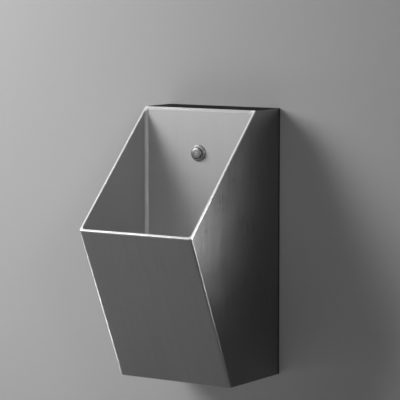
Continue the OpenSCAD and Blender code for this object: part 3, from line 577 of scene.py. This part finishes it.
def makeCasing():
    sheet, wide, back = shell["sheet"], shell["halfWidth"], shell["back"]
    top = shell["height"] - sheet
    piece = frontBlock("casingShell", 0.0, back, 0.0, top, shell["frontBend"], shell["sideBend"],
                       shell["bendSteps"])
    cutAway(piece, lip - openingOut * rimBand["thickness"], openingOut)
    roundEdges(piece, lambda e: onSide(e, wide, lambda v: v.y > back - near), shell["rearBend"], 6)
    roundEdges(piece, lambda e: both(e, lambda v: v.z < near), shell["bottomBend"], 5)
    slotHalf = wide - shell["backFlange"]
    underHalf = wide - shell["bottomFlange"]
    underFront = shell["bottomFront"] + shell["bottomFlange"]

    def isBack(f):
        return f.normal.y > aligned

    def isUnder(f):
        return f.normal.z < -aligned

    for side in (-1, 1):
        splitFaces(piece, isBack, (side * slotHalf, 0, 0), (1, 0, 0))
        splitFaces(piece, isUnder, (side * underHalf, 0, 0), (1, 0, 0))
    splitFaces(piece, isUnder, (0, underFront, 0), (0, 1, 0))

    def isOpen(f):
        centre = f.calc_center_median()
        if f.normal.dot(openingOut) > aligned or f.normal.z > aligned:
            return True
        if isBack(f) and abs(centre.x) < slotHalf - 10 * near:
            return True
        if isUnder(f) and abs(centre.x) < underHalf - 10 * near and centre.y > underFront:
            return True
        # the low bend is left out where the back is open
        bend = shell["bottomBend"] + 10 * near
        return abs(centre.x) < slotHalf - 10 * near and centre.y > back - bend and centre.z < bend

    deleteFaces(piece, isOpen)
    thicken(piece, sheet, -1)
    soften(piece, sheetEdge, 2, 50)
    finishPiece(piece, "urinal", shadeDarkenedCasingSteel, ["outer_shell"])


rimBand = {
    "width": 0.005, "topWidth": 0.006, "thickness": 0.0025, "edge": 0.0005, "outerEdge": 0.0011,
    "innerBend": 0.008,
}
bowlRear = shell["topFront"] - rimBand["topWidth"] * openingUp.y  # inner face of the bowl's back wall


# the space inside the bowl above its floor, tall enough to cut through the rim
def bowlBlock(name, top):
    bend = rimBand["innerBend"]
    piece = frontBlock(name, rimBand["width"], bowlRear, tub["floor"], top, bend, bend, 10)
    wide = shell["halfWidth"] - rimBand["width"]
    roundEdges(piece, lambda e: onSide(e, wide, lambda v: v.y > bowlRear - near), tub["rearBend"],
               tub["rearSteps"], tub["rearProfile"])
    return piece


def makeRim():
    low, high = shell["lipZ"] - 0.05, shell["height"] + 0.046
    piece = frontBlock("rimBand", 0.0, shell["back"], low, high, shell["frontBend"], shell["sideBend"], 20)
    cutAway(piece, lip, openingOut)
    cutAway(piece, lip - openingOut * rimBand["thickness"], -openingOut)
    cutAway(piece, lip + openingUp * openingLength, openingUp)
    combine(piece, bowlBlock("bowlCutter", high + 0.02), "DIFFERENCE")
    faceOut(piece)
    middle = lip + openingUp * (openingLength / 2)

    def isOuter(e):
        centre = (e.verts[0].co + e.verts[1].co) / 2
        if not both(e, lambda v: abs((v - lip).dot(openingOut)) < near):
            return False
        return any(f.normal.dot(openingOut) < 0.9 and f.normal.dot(openingUp) < 0.9
                   and f.normal.dot(centre - middle) > 0 for f in e.link_faces)

    roundEdges(piece, isOuter, rimBand["outerEdge"], 5)
    soften(piece, rimBand["edge"], 3, 50)
    finishPiece(piece, "urinal", rimSteel, ["rim_frame"])


tub = {
    "floor": 0.185, "slope": 8.0, "drainFlat": 0.048, "drainY": -0.170, "floorBend": 0.003,
    "rearBend": 0.008, "rearSteps": 8, "rearProfile": 0.34,
    "recess": 0.045, "recessDepth": 0.004, "wasteHole": 0.029, "recessBend": 0.001,
    "spreaderZ": 0.512, "spreaderHole": 0.011,
}


def makeBowl():
    piece = bowlBlock("bowlTub", shell["height"] + 0.006)
    cutAway(piece, lip - openingOut * rimBand["thickness"], openingOut)
    drain = Vector((0, tub["drainY"], tub["floor"]))
    lean = radians(tub["slope"])
    for out in (axes["X"], -axes["X"], axes["Y"], -axes["Y"]):
        cutAway(piece, drain + out * tub["drainFlat"], out * sin(lean) - axes["Z"] * cos(lean))

    def meetsFloor(e):
        level = [abs(f.normal.z) > 0.95 and f.normal.z < 0 for f in e.link_faces]
        return len(level) == 2 and level[0] != level[1]

    roundEdges(piece, meetsFloor, tub["floorBend"], 5)
    low = tub["floor"] - tub["recessDepth"]
    well = addRod("wellCutter", tub["recess"], (0, tub["drainY"], low), 0.03, sides=96)
    combine(piece, well, "UNION")
    faceOut(piece)

    def isWellRing(e):
        a, b = (v.co for v in e.verts)
        ring = [(v - Vector((0, tub["drainY"], v.z))).length - tub["recess"] for v in (a, b)]
        isShort = (a - b).length < 0.004 and abs(a.z - b.z) < mergeWithin
        return max(map(abs, ring)) < 10 * near and isShort and a.z < tub["floor"] + 10 * near

    roundEdges(piece, isWellRing, tub["recessBend"], 3)
    pick(piece, "FACE", lambda f: f.normal.z < -aligned and f.calc_center_median().z < low + near)
    bpy.ops.mesh.inset(thickness=tub["recess"] - tub["recessBend"] - tub["wasteHole"])
    bpy.ops.mesh.delete(type="FACE")
    leave()
    deleteFaces(piece, lambda f: f.normal.dot(openingOut) > aligned)
    thicken(piece, shell["sheet"], 1)
    tail = addRod("tailCutter", tub["spreaderHole"], (0, bowlRear - 0.01, tub["spreaderZ"]), 0.03, "Y")
    combine(piece, tail, "DIFFERENCE")
    soften(piece, sheetEdge, 2, 50)
    finishPiece(piece, "urinal", bowlSteel, ["bowl"])


cover = {"flange": 0.012, "rearFlange": 0.022, "flangeSet": 0.002, "rearHalf": 0.1295}


def makeCover():
    sheet, wide, back = shell["sheet"], shell["halfWidth"], shell["back"]
    top = shell["height"]
    piece = addBlock("topCover", (-wide, shell["topFront"] - 0.024, top - sheet), (wide, back, top))
    cutAway(piece, lip + openingUp * openingLength, -openingUp)
    roundEdges(piece, lambda e: onSide(e, wide, lambda v: v.y > back - near), shell["rearBend"], 6)
    soften(piece, sheetEdge, 2, 40)
    inner = wide - sheet
    low = top - sheet
    front = shell["topFront"] + cover["flangeSet"]
    long = -shell["topFront"] + back - shell["backFlange"] / 2
    flangeLow = low - cover["flange"]
    pieces = [piece, addBlock("coverFront", (-inner, front, flangeLow), (inner, front + sheet, low))]
    for side in (-1, 1):
        ends = sorted((side * inner, side * (inner - sheet)))
        pieces.append(addBlock("coverSide", (ends[0], front + sheet, flangeLow),
                               (ends[1], front + long, low)))
    pieces.append(addBlock("coverRear", (-cover["rearHalf"], back - sheet, low - cover["rearFlange"]),
                           (cover["rearHalf"], back, low)))
    piece = joinAll(pieces, "topCover")
    finishPiece(piece, "urinal", shadeDarkenedCoverSteel, ["top_cover"])


def makeSeal():
    wide, border = shell["halfWidth"], shell["backFlange"]
    piece = addBlock("wallSeal", (-wide, shell["back"], 0), (wide, 0, shell["height"]))
    hole = addBlock("sealCutter", (-wide + border, -0.01, -0.01),
                    (wide - border, 0.01, shell["height"] - border))
    combine(piece, hole, "DIFFERENCE")
    soften(piece, 0.0006, 3, 40)
    finishPiece(piece, "urinal", blackRubber, ["wall_seal"])


makeCasing()
makeRim()
makeBowl()
makeCover()
makeSeal()
print("casing, rim, bowl, cover and seal made")


# spreader in the bowl's back wall

spreader = {
    "z": tub["spreaderZ"], "flangeBack": -0.11122, "flangeFront": -0.11422, "bossFront": -0.11922,
    "capFront": -0.12172, "capWall": 0.0015, "flange": 0.019, "neck": 0.009, "cap": 0.013,
    "bore": 0.007, "screwHole": 0.0025, "screwClear": 0.0021, "screwSeat": 0.0040,
    "screwHead": 0.0039, "screwShank": 0.0020, "tail": 0.0104, "tailEnd": -0.07972,
    "threads": 12, "pitch": 0.0018, "threadDepth": 0.0007,
}


def makeSpreader():
    s = spreader
    centre = (0, 0, s["z"])
    face, root = s["flangeFront"], s["tail"] - s["threadDepth"]
    section = [(s["bore"], s["tailEnd"]), (s["bore"], face + 0.0005), (s["screwHole"], face - 0.0005),
               (s["screwHole"], s["bossFront"]), (s["neck"], s["bossFront"]), (s["neck"], face),
               (s["flange"] - 0.0025, face), (s["flange"] - 0.0010, face + 0.0007),
               (s["flange"], face + 0.0020), (s["flange"], s["flangeBack"]), (s["tail"], s["flangeBack"])]
    place = s["flangeBack"] + 0.004
    for i in range(s["threads"]):
        section += [(root, place + s["pitch"] * i), (s["tail"], place + s["pitch"] * (i + 0.5))]
    section += [(root, s["tailEnd"]), section[0]]
    piece = turnShape("spreaderBody", centre, "Y", section, 64)
    slot = addBlock("slotCutter", (-s["bore"], face - 0.003, s["z"] - s["cap"]),
                    (s["bore"], face - 0.0001, s["z"]))
    combine(piece, slot, "DIFFERENCE")
    soften(piece, sheetEdge, 2, 40)
    finishPiece(piece, "urinal", shadeDarkenedSpreaderChrome, ["spreader_body"])

    front, back = s["capFront"], s["bossFront"]
    seat, inner = front + 0.0010, s["cap"] - s["capWall"]
    cap = turnShape("spreaderCap", centre, "Y", [
        (s["screwClear"], back), (s["screwClear"], seat), (s["screwSeat"], seat),
        (s["screwSeat"], front + 0.0001), (0.0075, front), (0.0105, front + 0.0004),
        (0.0122, front + 0.0011), (s["cap"], front + 0.0023), (s["cap"], back + 0.004),
        (inner, back + 0.004), (inner, back), (s["screwClear"], back),
    ], 64)
    mouthHalf = 0.0106
    mouth = addBlock("mouthCutter", (-mouthHalf, back + 0.0005, s["z"] - 0.02),
                     (mouthHalf, back + 0.006, s["z"] - 0.004))
    combine(cap, mouth, "DIFFERENCE")
    soften(cap, 0.00025, 2, 40)
    finishPiece(cap, "urinal", shadeDarkenedSpreaderChrome, ["spreader_cap"])

    screw = turnShape("spreaderScrew", centre, "Y", [
        (s["screwShank"], back + 0.002), (s["screwShank"], seat), (s["screwHead"], seat),
        (s["screwHead"], front + 0.0003), (s["screwHead"] - 0.0005, front + 0.0001)], 40, closed=False)
    combine(screw, addRod("keyCutter", 0.0014, (0, front - 0.001, s["z"]), 0.0025, "Y", 6), "DIFFERENCE")
    soften(screw, 0.00012, 2, 40)
    finishPiece(screw, "urinal", zincPlate, ["spreader_cap_screw"])


makeSpreader()
print("spreader made")


# waste and strainer

drainPlace = (0, tub["drainY"], 0)
waste = {"top": 0.1845, "flange": 0.042, "flangeThickness": 0.002, "thread": 0.028, "bore": 0.025,
         "threadTop": 0.1775, "pitch": 0.0025, "threadDepth": 0.0010, "tailDepth": 0.0009,
         "step": 0.150, "tail": 0.022, "tailBore": 0.018, "tailEnd": 0.134}
# rings of holes: how many, how far out, angle of the first
sieve = {"radius": 0.034, "thickness": 0.002, "skirt": 0.0246, "skirtWall": 0.0016, "skirtDepth": 0.008,
         "hole": 0.003, "rings": [(1, 0.0, 0.0), (6, 0.009, 0.0), (12, 0.017, 15.0)]}


def makeWaste():
    w = waste
    under = w["top"] - w["flangeThickness"]
    root, tailRoot = w["thread"] - w["threadDepth"], w["tail"] - w["tailDepth"]
    section = [(w["bore"], w["top"] - 0.0008), (w["bore"] + 0.0012, w["top"]),
               (w["flange"] - 0.0012, w["top"]), (w["flange"], w["top"] - 0.0010),
               (w["flange"], under), (w["thread"], under)]
    place = w["threadTop"]
    while place > w["step"] + 0.004:
        section += [(w["thread"] - 0.0001, place), (root, place - w["pitch"] / 2)]
        place -= w["pitch"]
    section += [(root, w["step"]), (w["tail"], w["step"])]
    place = w["step"] - 0.003
    while place > w["tailEnd"] + 0.003:
        section += [(w["tail"], place), (tailRoot, place - w["pitch"] / 2)]
        place -= w["pitch"]
    section += [(tailRoot, w["tailEnd"]), (w["tailBore"], w["tailEnd"]), (w["tailBore"], w["step"] + 0.002),
                (w["bore"], w["step"] + 0.007), section[0]]
    piece = turnShape("wasteBody", drainPlace, "Z", section, 80)
    finishPiece(piece, "urinal", bowlSteel, ["waste_body"], 40)


def makeStrainer():
    s, top = sieve, waste["top"]
    high = top + s["thickness"]
    dish = high - 0.0004  # the middle lies a little lower than the border
    plate = turnShape("strainerDisc", drainPlace, "Z", [
        (s["skirt"], top - s["skirtDepth"]), (s["skirt"], top), (s["radius"], top),
        (s["radius"], top + 0.0008), (s["radius"] - 0.0015, top + 0.0018), (s["radius"] - 0.0035, high),
        (0.0225, high), (0.0215, dish), (0.004, dish),
    ], 80, closed=False)
    inside = addRod("skirtCutter", s["skirt"] - s["skirtWall"], (0, tub["drainY"], top - 0.02), 0.02,
                    sides=80)
    combine(plate, inside, "DIFFERENCE")
    for count, ring, first in s["rings"]:
        for i in range(count):
            angle = radians(first + i * 360 / count)
            spot = (ring * cos(angle), tub["drainY"] + ring * sin(angle), top - 0.005)
            combine(plate, addRod("holeCutter", s["hole"], spot, 0.012, sides=24), "DIFFERENCE")
    soften(plate, smallEdge, 2, 40)
    finishPiece(plate, "lifting_strainer", bowlSteel, ["strainer"])


makeWaste()
makeStrainer()
print("waste and strainer made")


# folded steel parts

folds = {"outer": 0.0036, "inner": 0.0011}
# y and z of the outer and the inner edges to be rounded
foldedParts = [
    ("hook_rail", "hookRail", "plain_steel", plainSteel,
     [(-0.0070, 0.5975), (-0.0165, 0.5975)], [(-0.0095, 0.5950), (-0.0140, 0.5950)]),
    ("rear_crossbar", "rearCrossbar", "plain_steel", plainSteel, [(-0.0055, 0.0580)], [(-0.0075, 0.0560)]),
    ("wall_bracket", "wallBracket", "zinc_steel", zincPlate,
     [(0.0, 0.5800), (-0.0130, 0.5775)], [(-0.0025, 0.5775), (-0.0105, 0.5800)]),
]


def makeFolded(node, name, slot, surface, outer, inner):
    piece = bareCopy(node, name)
    for places, radius in ((outer, folds["outer"]), (inner, folds["inner"])):
        def atFold(v):
            return any(abs(v.y - y) < 2 * near and abs(v.z - z) < 2 * near for y, z in places)

        roundEdges(piece, lambda e: both(e, atFold), radius, 5)
    soften(piece, smallEdge, 2, 40)
    finishPiece(piece, "urinal", surface, [node])


for part in foldedParts:
    makeFolded(*part)
print("folded parts made")


# access panel and its screws

panel = {
    "halfWidth": 0.134, "front": -0.192, "rear": -0.0165, "low": 0.003, "side": 0.010, "bend": 0.0022,
    "hingeY": -0.0115, "hingeZ": 0.007, "roll": 0.004, "bore": 0.0021, "rollFrom": 0.0105, "rollTo": 0.0495,
    "screwX": 0.090, "screwY": -0.182, "screwHole": 0.0028,
}
panelScrew = {"head": 0.0045, "shank": 0.0025, "root": 0.0021, "low": 0.0005, "seat": 0.003, "end": 0.013,
              "pitch": 0.0008, "key": 0.001732, "keyDepth": 0.0015}


def makePanel():
    p, sheet = panel, shell["sheet"]
    piece = addBlock("accessPanel", (-p["halfWidth"], p["front"], p["low"]),
                     (p["halfWidth"], p["rear"], p["low"] + p["side"]))
    roundEdges(piece, lambda e: onSide(e, p["halfWidth"], lambda v: v.z < p["low"] + near), p["bend"], 6)
    deleteFaces(piece, lambda f: f.normal.z > aligned or abs(f.normal.y) > aligned)
    thicken(piece, sheet, -1)
    length = p["rollTo"] - p["rollFrom"]
    for side in (-1, 1):
        start = min(side * p["rollFrom"], side * p["rollTo"])
        roll = addRod("roll", p["roll"], (start, p["hingeY"], p["hingeZ"]), length, "X")
        tongue = addBlock("tongue", (start, p["rear"] - 0.0005, p["low"]),
                          (start + length, p["hingeY"], p["low"] + sheet))
        combine(roll, tongue, "UNION")
        boreStart = (start - 0.001, p["hingeY"], p["hingeZ"])
        combine(roll, addRod("boreCutter", p["bore"], boreStart, length + 0.002, "X", 40), "DIFFERENCE")
        combine(piece, roll, "UNION")
        holeStart = (side * p["screwX"], p["screwY"], p["low"] - 0.001)
        combine(piece, addRod("holeCutter", p["screwHole"], holeStart, 0.004, sides=40), "DIFFERENCE")
    soften(piece, smallEdge, 2, 40)
    finishPiece(piece, "swinging_panel", shadeDarkenedCasingSteel, ["access_panel"])


def makePanelScrew(side, name, body, node):
    s = panelScrew
    section = [(s["head"] - 0.0009, s["low"]), (s["head"] - 0.0003, s["low"] + 0.0003),
               (s["head"], s["low"] + 0.0010), (s["head"], s["seat"]), (s["shank"], s["seat"])]
    place = s["seat"] + 0.0012
    while place < s["end"] - 0.0012:
        section += [(s["shank"], place), (s["root"], place + s["pitch"] / 2)]
        place += s["pitch"]
    section += [(s["shank"], s["end"] - 0.0006), (s["root"], s["end"])]
    x, y = side * panel["screwX"], panel["screwY"]
    piece = turnShape(name, (x, y, 0), "Z", section, 32, closed=False)
    socket = addRod("keyCutter", s["key"], (x, y, s["low"] - 0.001), s["keyDepth"] + 0.001, sides=6)
    combine(piece, socket, "DIFFERENCE")
    soften(piece, 0.00012, 2, 50)
    finishPiece(piece, body, zincPlate, [node])


makePanel()
makePanelScrew(-1, "panelScrewLeft", "left_panel_screw", "panel_screw_left")
makePanelScrew(1, "panelScrewRight", "right_panel_screw", "panel_screw_right")
print("access panel and screws made")


# the trap's cup, moulded with rounded corners

cup = {"low": 0.020, "top": 0.054, "radius": 0.030, "wall": 0.003, "collar": 0.033, "collarHeight": 0.004}


def makeCup():
    c = cup
    inner = c["radius"] - c["wall"]
    floor = c["low"] + c["wall"]
    under = c["top"] - c["collarHeight"]
    section = [(inner - 0.004, floor), (inner - 0.0012, floor + 0.0012), (inner, floor + 0.004),
               (inner, c["top"]), (c["collar"] - 0.0005, c["top"]), (c["collar"], c["top"] - 0.0005),
               (c["collar"], under), (c["radius"], under),
               (c["radius"], c["low"] + 0.0065), (c["radius"] - 0.0006, c["low"] + 0.0038),
               (c["radius"] - 0.0020, c["low"] + 0.0018), (c["radius"] - 0.0042, c["low"] + 0.0005),
               (c["radius"] - 0.0070, c["low"])]
    piece = turnShape("trapCup", drainPlace, "Z", section, 72, closed=False)
    soften(piece, 0.0004, 2, 50)
    finishPiece(piece, "dropping_cup", whitePlastic, ["trap_cup"], 40)


makeCup()
print("trap cup made")


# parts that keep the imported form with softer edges

hardware = [
    ("bowl_stays", "bowlStays", "urinal", "plain_steel", plainSteel, 0.0004),
    ("panel_hinge_leaf", "hingeLeaf", "urinal", "plain_steel", plainSteel, 0.0003),
    ("panel_hinge_pin", "hingePin", "urinal", "zinc_steel", zincPlate, 0.0004),
    ("panel_nut_tabs", "nutTabs", "urinal", "plain_steel", plainSteel, 0.0003),
    ("panel_weld_nuts", "weldNuts", "urinal", "zinc_steel", zincPlate, 0.0003),
    ("spreader_gasket", "spreaderGasket", "urinal", "black_rubber", blackRubber, 0.0002),
    ("spreader_washer", "spreaderWasher", "urinal", "zinc_steel", zincPlate, 0.0003),
    ("spreader_lock_nut", "spreaderLockNut", "urinal", "brass", brassMetal, 0.0005),
    ("inlet_seal", "inletSeal", "urinal", "black_rubber", blackRubber, 0.0003),
    ("inlet_union_nut", "inletUnionNut", "urinal", "brass", brassMetal, 0.0005),
    ("inlet_pipe", "inletPipe", "urinal", "chrome", chromePlate, 0.0004),
    ("inlet_wall_grommet", "inletGrommet", "urinal", "black_rubber", blackRubber, 0.0005),
    ("waste_upper_gasket", "wasteUpperGasket", "urinal", "black_rubber", blackRubber, 0.0003),
    ("waste_lower_gasket", "wasteLowerGasket", "urinal", "black_rubber", blackRubber, 0.0004),
    ("waste_lock_nut", "wasteLockNut", "urinal", "white_plastic", whitePlastic, 0.0006),
    ("trap_inlet_seal", "trapInletSeal", "urinal", "black_rubber", blackRubber, 0.0003),
    ("trap_inlet_nut", "trapInletNut", "urinal", "white_plastic", whitePlastic, 0.0006),
    ("trap_body", "trapBody", "urinal", "white_plastic", whitePlastic, 0.0006),
    ("trap_dip_tube", "trapDipTube", "urinal", "white_plastic", whitePlastic, 0.0003),
    ("trap_cup_seal", "trapCupSeal", "dropping_cup", "black_rubber", blackRubber, 0.0003),
    ("trap_ring_nut", "trapRingNut", "turning_ring_nut", "white_plastic", whitePlastic, 0.0006),
    ("outlet_seal", "outletSeal", "urinal", "black_rubber", blackRubber, 0.0003),
    ("outlet_union_nut", "outletUnionNut", "urinal", "white_plastic", whitePlastic, 0.0006),
    ("outlet_pipe", "outletPipe", "urinal", "grey_plastic", greyPlastic, 0.0005),
    ("outlet_wall_grommet", "outletGrommet", "urinal", "black_rubber", blackRubber, 0.0005),
    ("front_damping_pad", "frontPad", "urinal", "damping_felt", dampingFelt, 0.0005),
    ("side_damping_pads", "sidePads", "urinal", "damping_felt", dampingFelt, 0.0005),
    ("bowl_damping_pad", "bowlPad", "urinal", "damping_felt", dampingFelt, 0.0005),
    ("earth_stud", "earthStud", "urinal", "zinc_steel", zincPlate, 0.0003),
    ("earth_washer", "earthWasher", "urinal", "zinc_steel", zincPlate, 0.0003),
    ("earth_nut", "earthNut", "urinal", "brass", brassMetal, 0.0004),
]
for node, name, body, slotName, surface, width in hardware:
    softCopy(node, name, body, surface, width)
print("hardware made")


# studio

studio = {
    "wallSize": 9.0, "floorSize": 26.0, "floorZ": -0.30,
    "wallY": 0.0004, "holeWidth": 0.296, "holeHeight": 0.610, "holeMiddle": 0.307,
    "wallTone": 0.62, "floorTone": 0.72,
    "worldLight": 0.03, "worldSeen": 0.34, "fadeStart": 1.6, "fadeEnd": 5.0,
}


# 1 for camera, glossy and transmission rays, 0 for light that scatters
def seenRays(tree):
    rays = tree.nodes.new("ShaderNodeLightPath").outputs
    seen = sums(tree, "MAXIMUM", rays["Is Camera Ray"], rays["Is Glossy Ray"])
    return sums(tree, "MAXIMUM", seen, rays["Is Transmission Ray"])


# pale paint, seen from its front only; far from the piece it fades to the tone of the world
def makePaint(name, tone):
    surface = bpy.data.materials.new(name)
    surface.use_nodes = True
    tree = surface.node_tree
    shader = tree.nodes["Principled BSDF"]
    shader.inputs["Roughness"].default_value = 0.9
    shader.inputs["Specular IOR Level"].default_value = 0.1
    skin = groupNode(tree, skinGroup, {"Grains per m": 60.0, "Flow per m": 1.2})
    colour = blendColours(tree, skin["Tone"], grey(tone * 0.98), grey(tone * 1.02))
    tree.links.new(colour, shader.inputs["Base Color"])
    place = addNode(tree, "ShaderNodeTexCoord").outputs["Object"]
    distance = addNode(tree, "ShaderNodeVectorMath", {0: place}, operation="LENGTH").outputs["Value"]
    far = addNode(tree, "ShaderNodeMapRange", {
        "Value": distance, "From Min": studio["fadeStart"], "From Max": studio["fadeEnd"]},
        interpolation_type="SMOOTHSTEP").outputs[0]
    glow = addNode(tree, "ShaderNodeEmission", {"Strength": studio["worldSeen"]})
    faded = addNode(tree, "ShaderNodeMixShader", {
        0: sums(tree, "MULTIPLY", far, seenRays(tree)), 1: shader.outputs[0], 2: glow.outputs[0]})
    behind = addNode(tree, "ShaderNodeNewGeometry").outputs["Backfacing"]
    clear = addNode(tree, "ShaderNodeBsdfTransparent")
    mixed = addNode(tree, "ShaderNodeMixShader", {0: behind, 1: faded.outputs[0], 2: clear.outputs[0]})
    tree.links.new(mixed.outputs[0], tree.nodes["Material Output"].inputs[0])
    return surface


def makeStage():
    focus(None)
    bpy.ops.mesh.primitive_plane_add(size=studio["floorSize"], location=(0, 0, studio["floorZ"]))
    floor = settle("floor")
    floor.data.materials.append(makePaint("floorPaint", studio["floorTone"]))
    focus(None)
    middle = (0, studio["wallY"], studio["holeMiddle"])
    wide, high = studio["holeWidth"], studio["holeHeight"]
    bpy.ops.mesh.primitive_plane_add(size=1, location=middle)
    wall = bpy.context.object
    wall.rotation_euler = (pi / 2, 0, 0)
    wall.scale = (wide, high, 1)
    wall = settle("wall")
    # the wall grows out from the edges of the hole behind the casing, and the hole's own face goes
    pick(wall, "EDGE", everything)
    bpy.ops.mesh.extrude_region_move()
    bpy.ops.transform.resize(value=(studio["wallSize"] / wide, 1, studio["wallSize"] / high),
                             center_override=middle)
    leave()
    deleteFaces(wall, lambda f: all(abs(v.co.x) < wide for v in f.verts))
    cutAway(wall, (0, 0, studio["floorZ"]), (0, 0, -1), fill=False)
    wall.data.materials.append(makePaint("wallPaint", studio["wallTone"]))


def addLamp(name, place, aim, width, height, power, spread=180):
    light = bpy.data.lights.new(name, "AREA")
    light.shape = "RECTANGLE"
    light.size, light.size_y, light.energy = width, height, power
    light.spread = radians(spread)
    lamp = bpy.data.objects.new(name, light)
    bpy.context.scene.collection.objects.link(lamp)
    lamp.location = place
    lamp.rotation_euler = (Vector(aim) - Vector(place)).to_track_quat("-Z", "Y").to_euler()
    lamp.visible_camera = False


# the narrow ones light one place each: the bowl, the right side, the edges beside the front
lamps = {
    "keyBox": {"place": (-1.7, -1.6, 1.6), "aim": (0, -0.1, 0.3), "width": 1.3, "height": 1.3, "power": 41},
    "overheadBox": {"place": (-1.3, -0.7, 2.5), "aim": (0, -0.25, 0.4), "width": 1.2, "height": 1.2,
                    "power": 2.5},
    "topSpot": {"place": (-0.18, -0.05, 1.3), "aim": (-0.03, -0.28, 0.33), "width": 0.14, "height": 0.14,
                "power": 0.29, "spread": 15},
    "bowlSpot": {"place": (1.5, -1.7, 1.0), "aim": (-0.03, -0.2, 0.46), "width": 0.4, "height": 0.4,
                 "power": 0.125, "spread": 26},
    "sideStrip": {"place": (0.66, -0.05, 0.47), "aim": (0.15, -0.60, 0.70), "width": 0.2, "height": 0.5,
                  "power": 3.1, "spread": 100},
    "edgeStrip": {"place": (0.70, -0.255, 0.01), "aim": (0.145, -0.30, 0.29), "width": 0.05, "height": 0.28,
                  "power": 0.10, "spread": 36},
    "leftStrip": {"place": (-0.67, -0.165, -0.07), "aim": (-0.15, -0.285, 0.18), "width": 0.08,
                  "height": 0.40, "power": 0.06, "spread": 30},
    "rearBox": {"place": (1.6, 2.8, 2.0), "aim": (0, 0, 0.3), "width": 4.0, "height": 4.0, "power": 60},
    "rearFill": {"place": (-2.2, 2.4, 0.7), "aim": (0, 0, 0.3), "width": 1.6, "height": 1.2, "power": 30},
}


def makeLight():
    world = bpy.data.worlds.new("studioWorld")
    bpy.context.scene.world = world
    world.use_nodes = True
    tree = world.node_tree
    strength = remap(tree, seenRays(tree), 0, 1, studio["worldLight"], studio["worldSeen"])
    tree.links.new(strength, tree.nodes["Background"].inputs["Strength"])
    tree.nodes["Background"].inputs["Color"].default_value = (1, 1, 1, 1)
    for name, look in lamps.items():
        addLamp(name, **look)


# the viewing angle of the photograph, fitted to the casing's corners
view = {"lens": 196.98, "sensor": 36, "place": (2.730, -4.263, 0.926), "tilt": 84.01, "turn": 33.28,
        "far": 200}


def makeCamera():
    camera = bpy.data.objects.new("camera", bpy.data.cameras.new("camera"))
    bpy.context.scene.collection.objects.link(camera)
    camera.data.lens = view["lens"]
    camera.data.sensor_width = view["sensor"]
    camera.data.clip_end = view["far"]
    camera.location = view["place"]
    camera.rotation_euler = (radians(view["tilt"]), 0, radians(view["turn"]))
    bpy.context.scene.camera = camera


makeStage()
makeLight()
makeCamera()
bpy.context.scene.view_settings.view_transform = "Standard"
print("studio made")
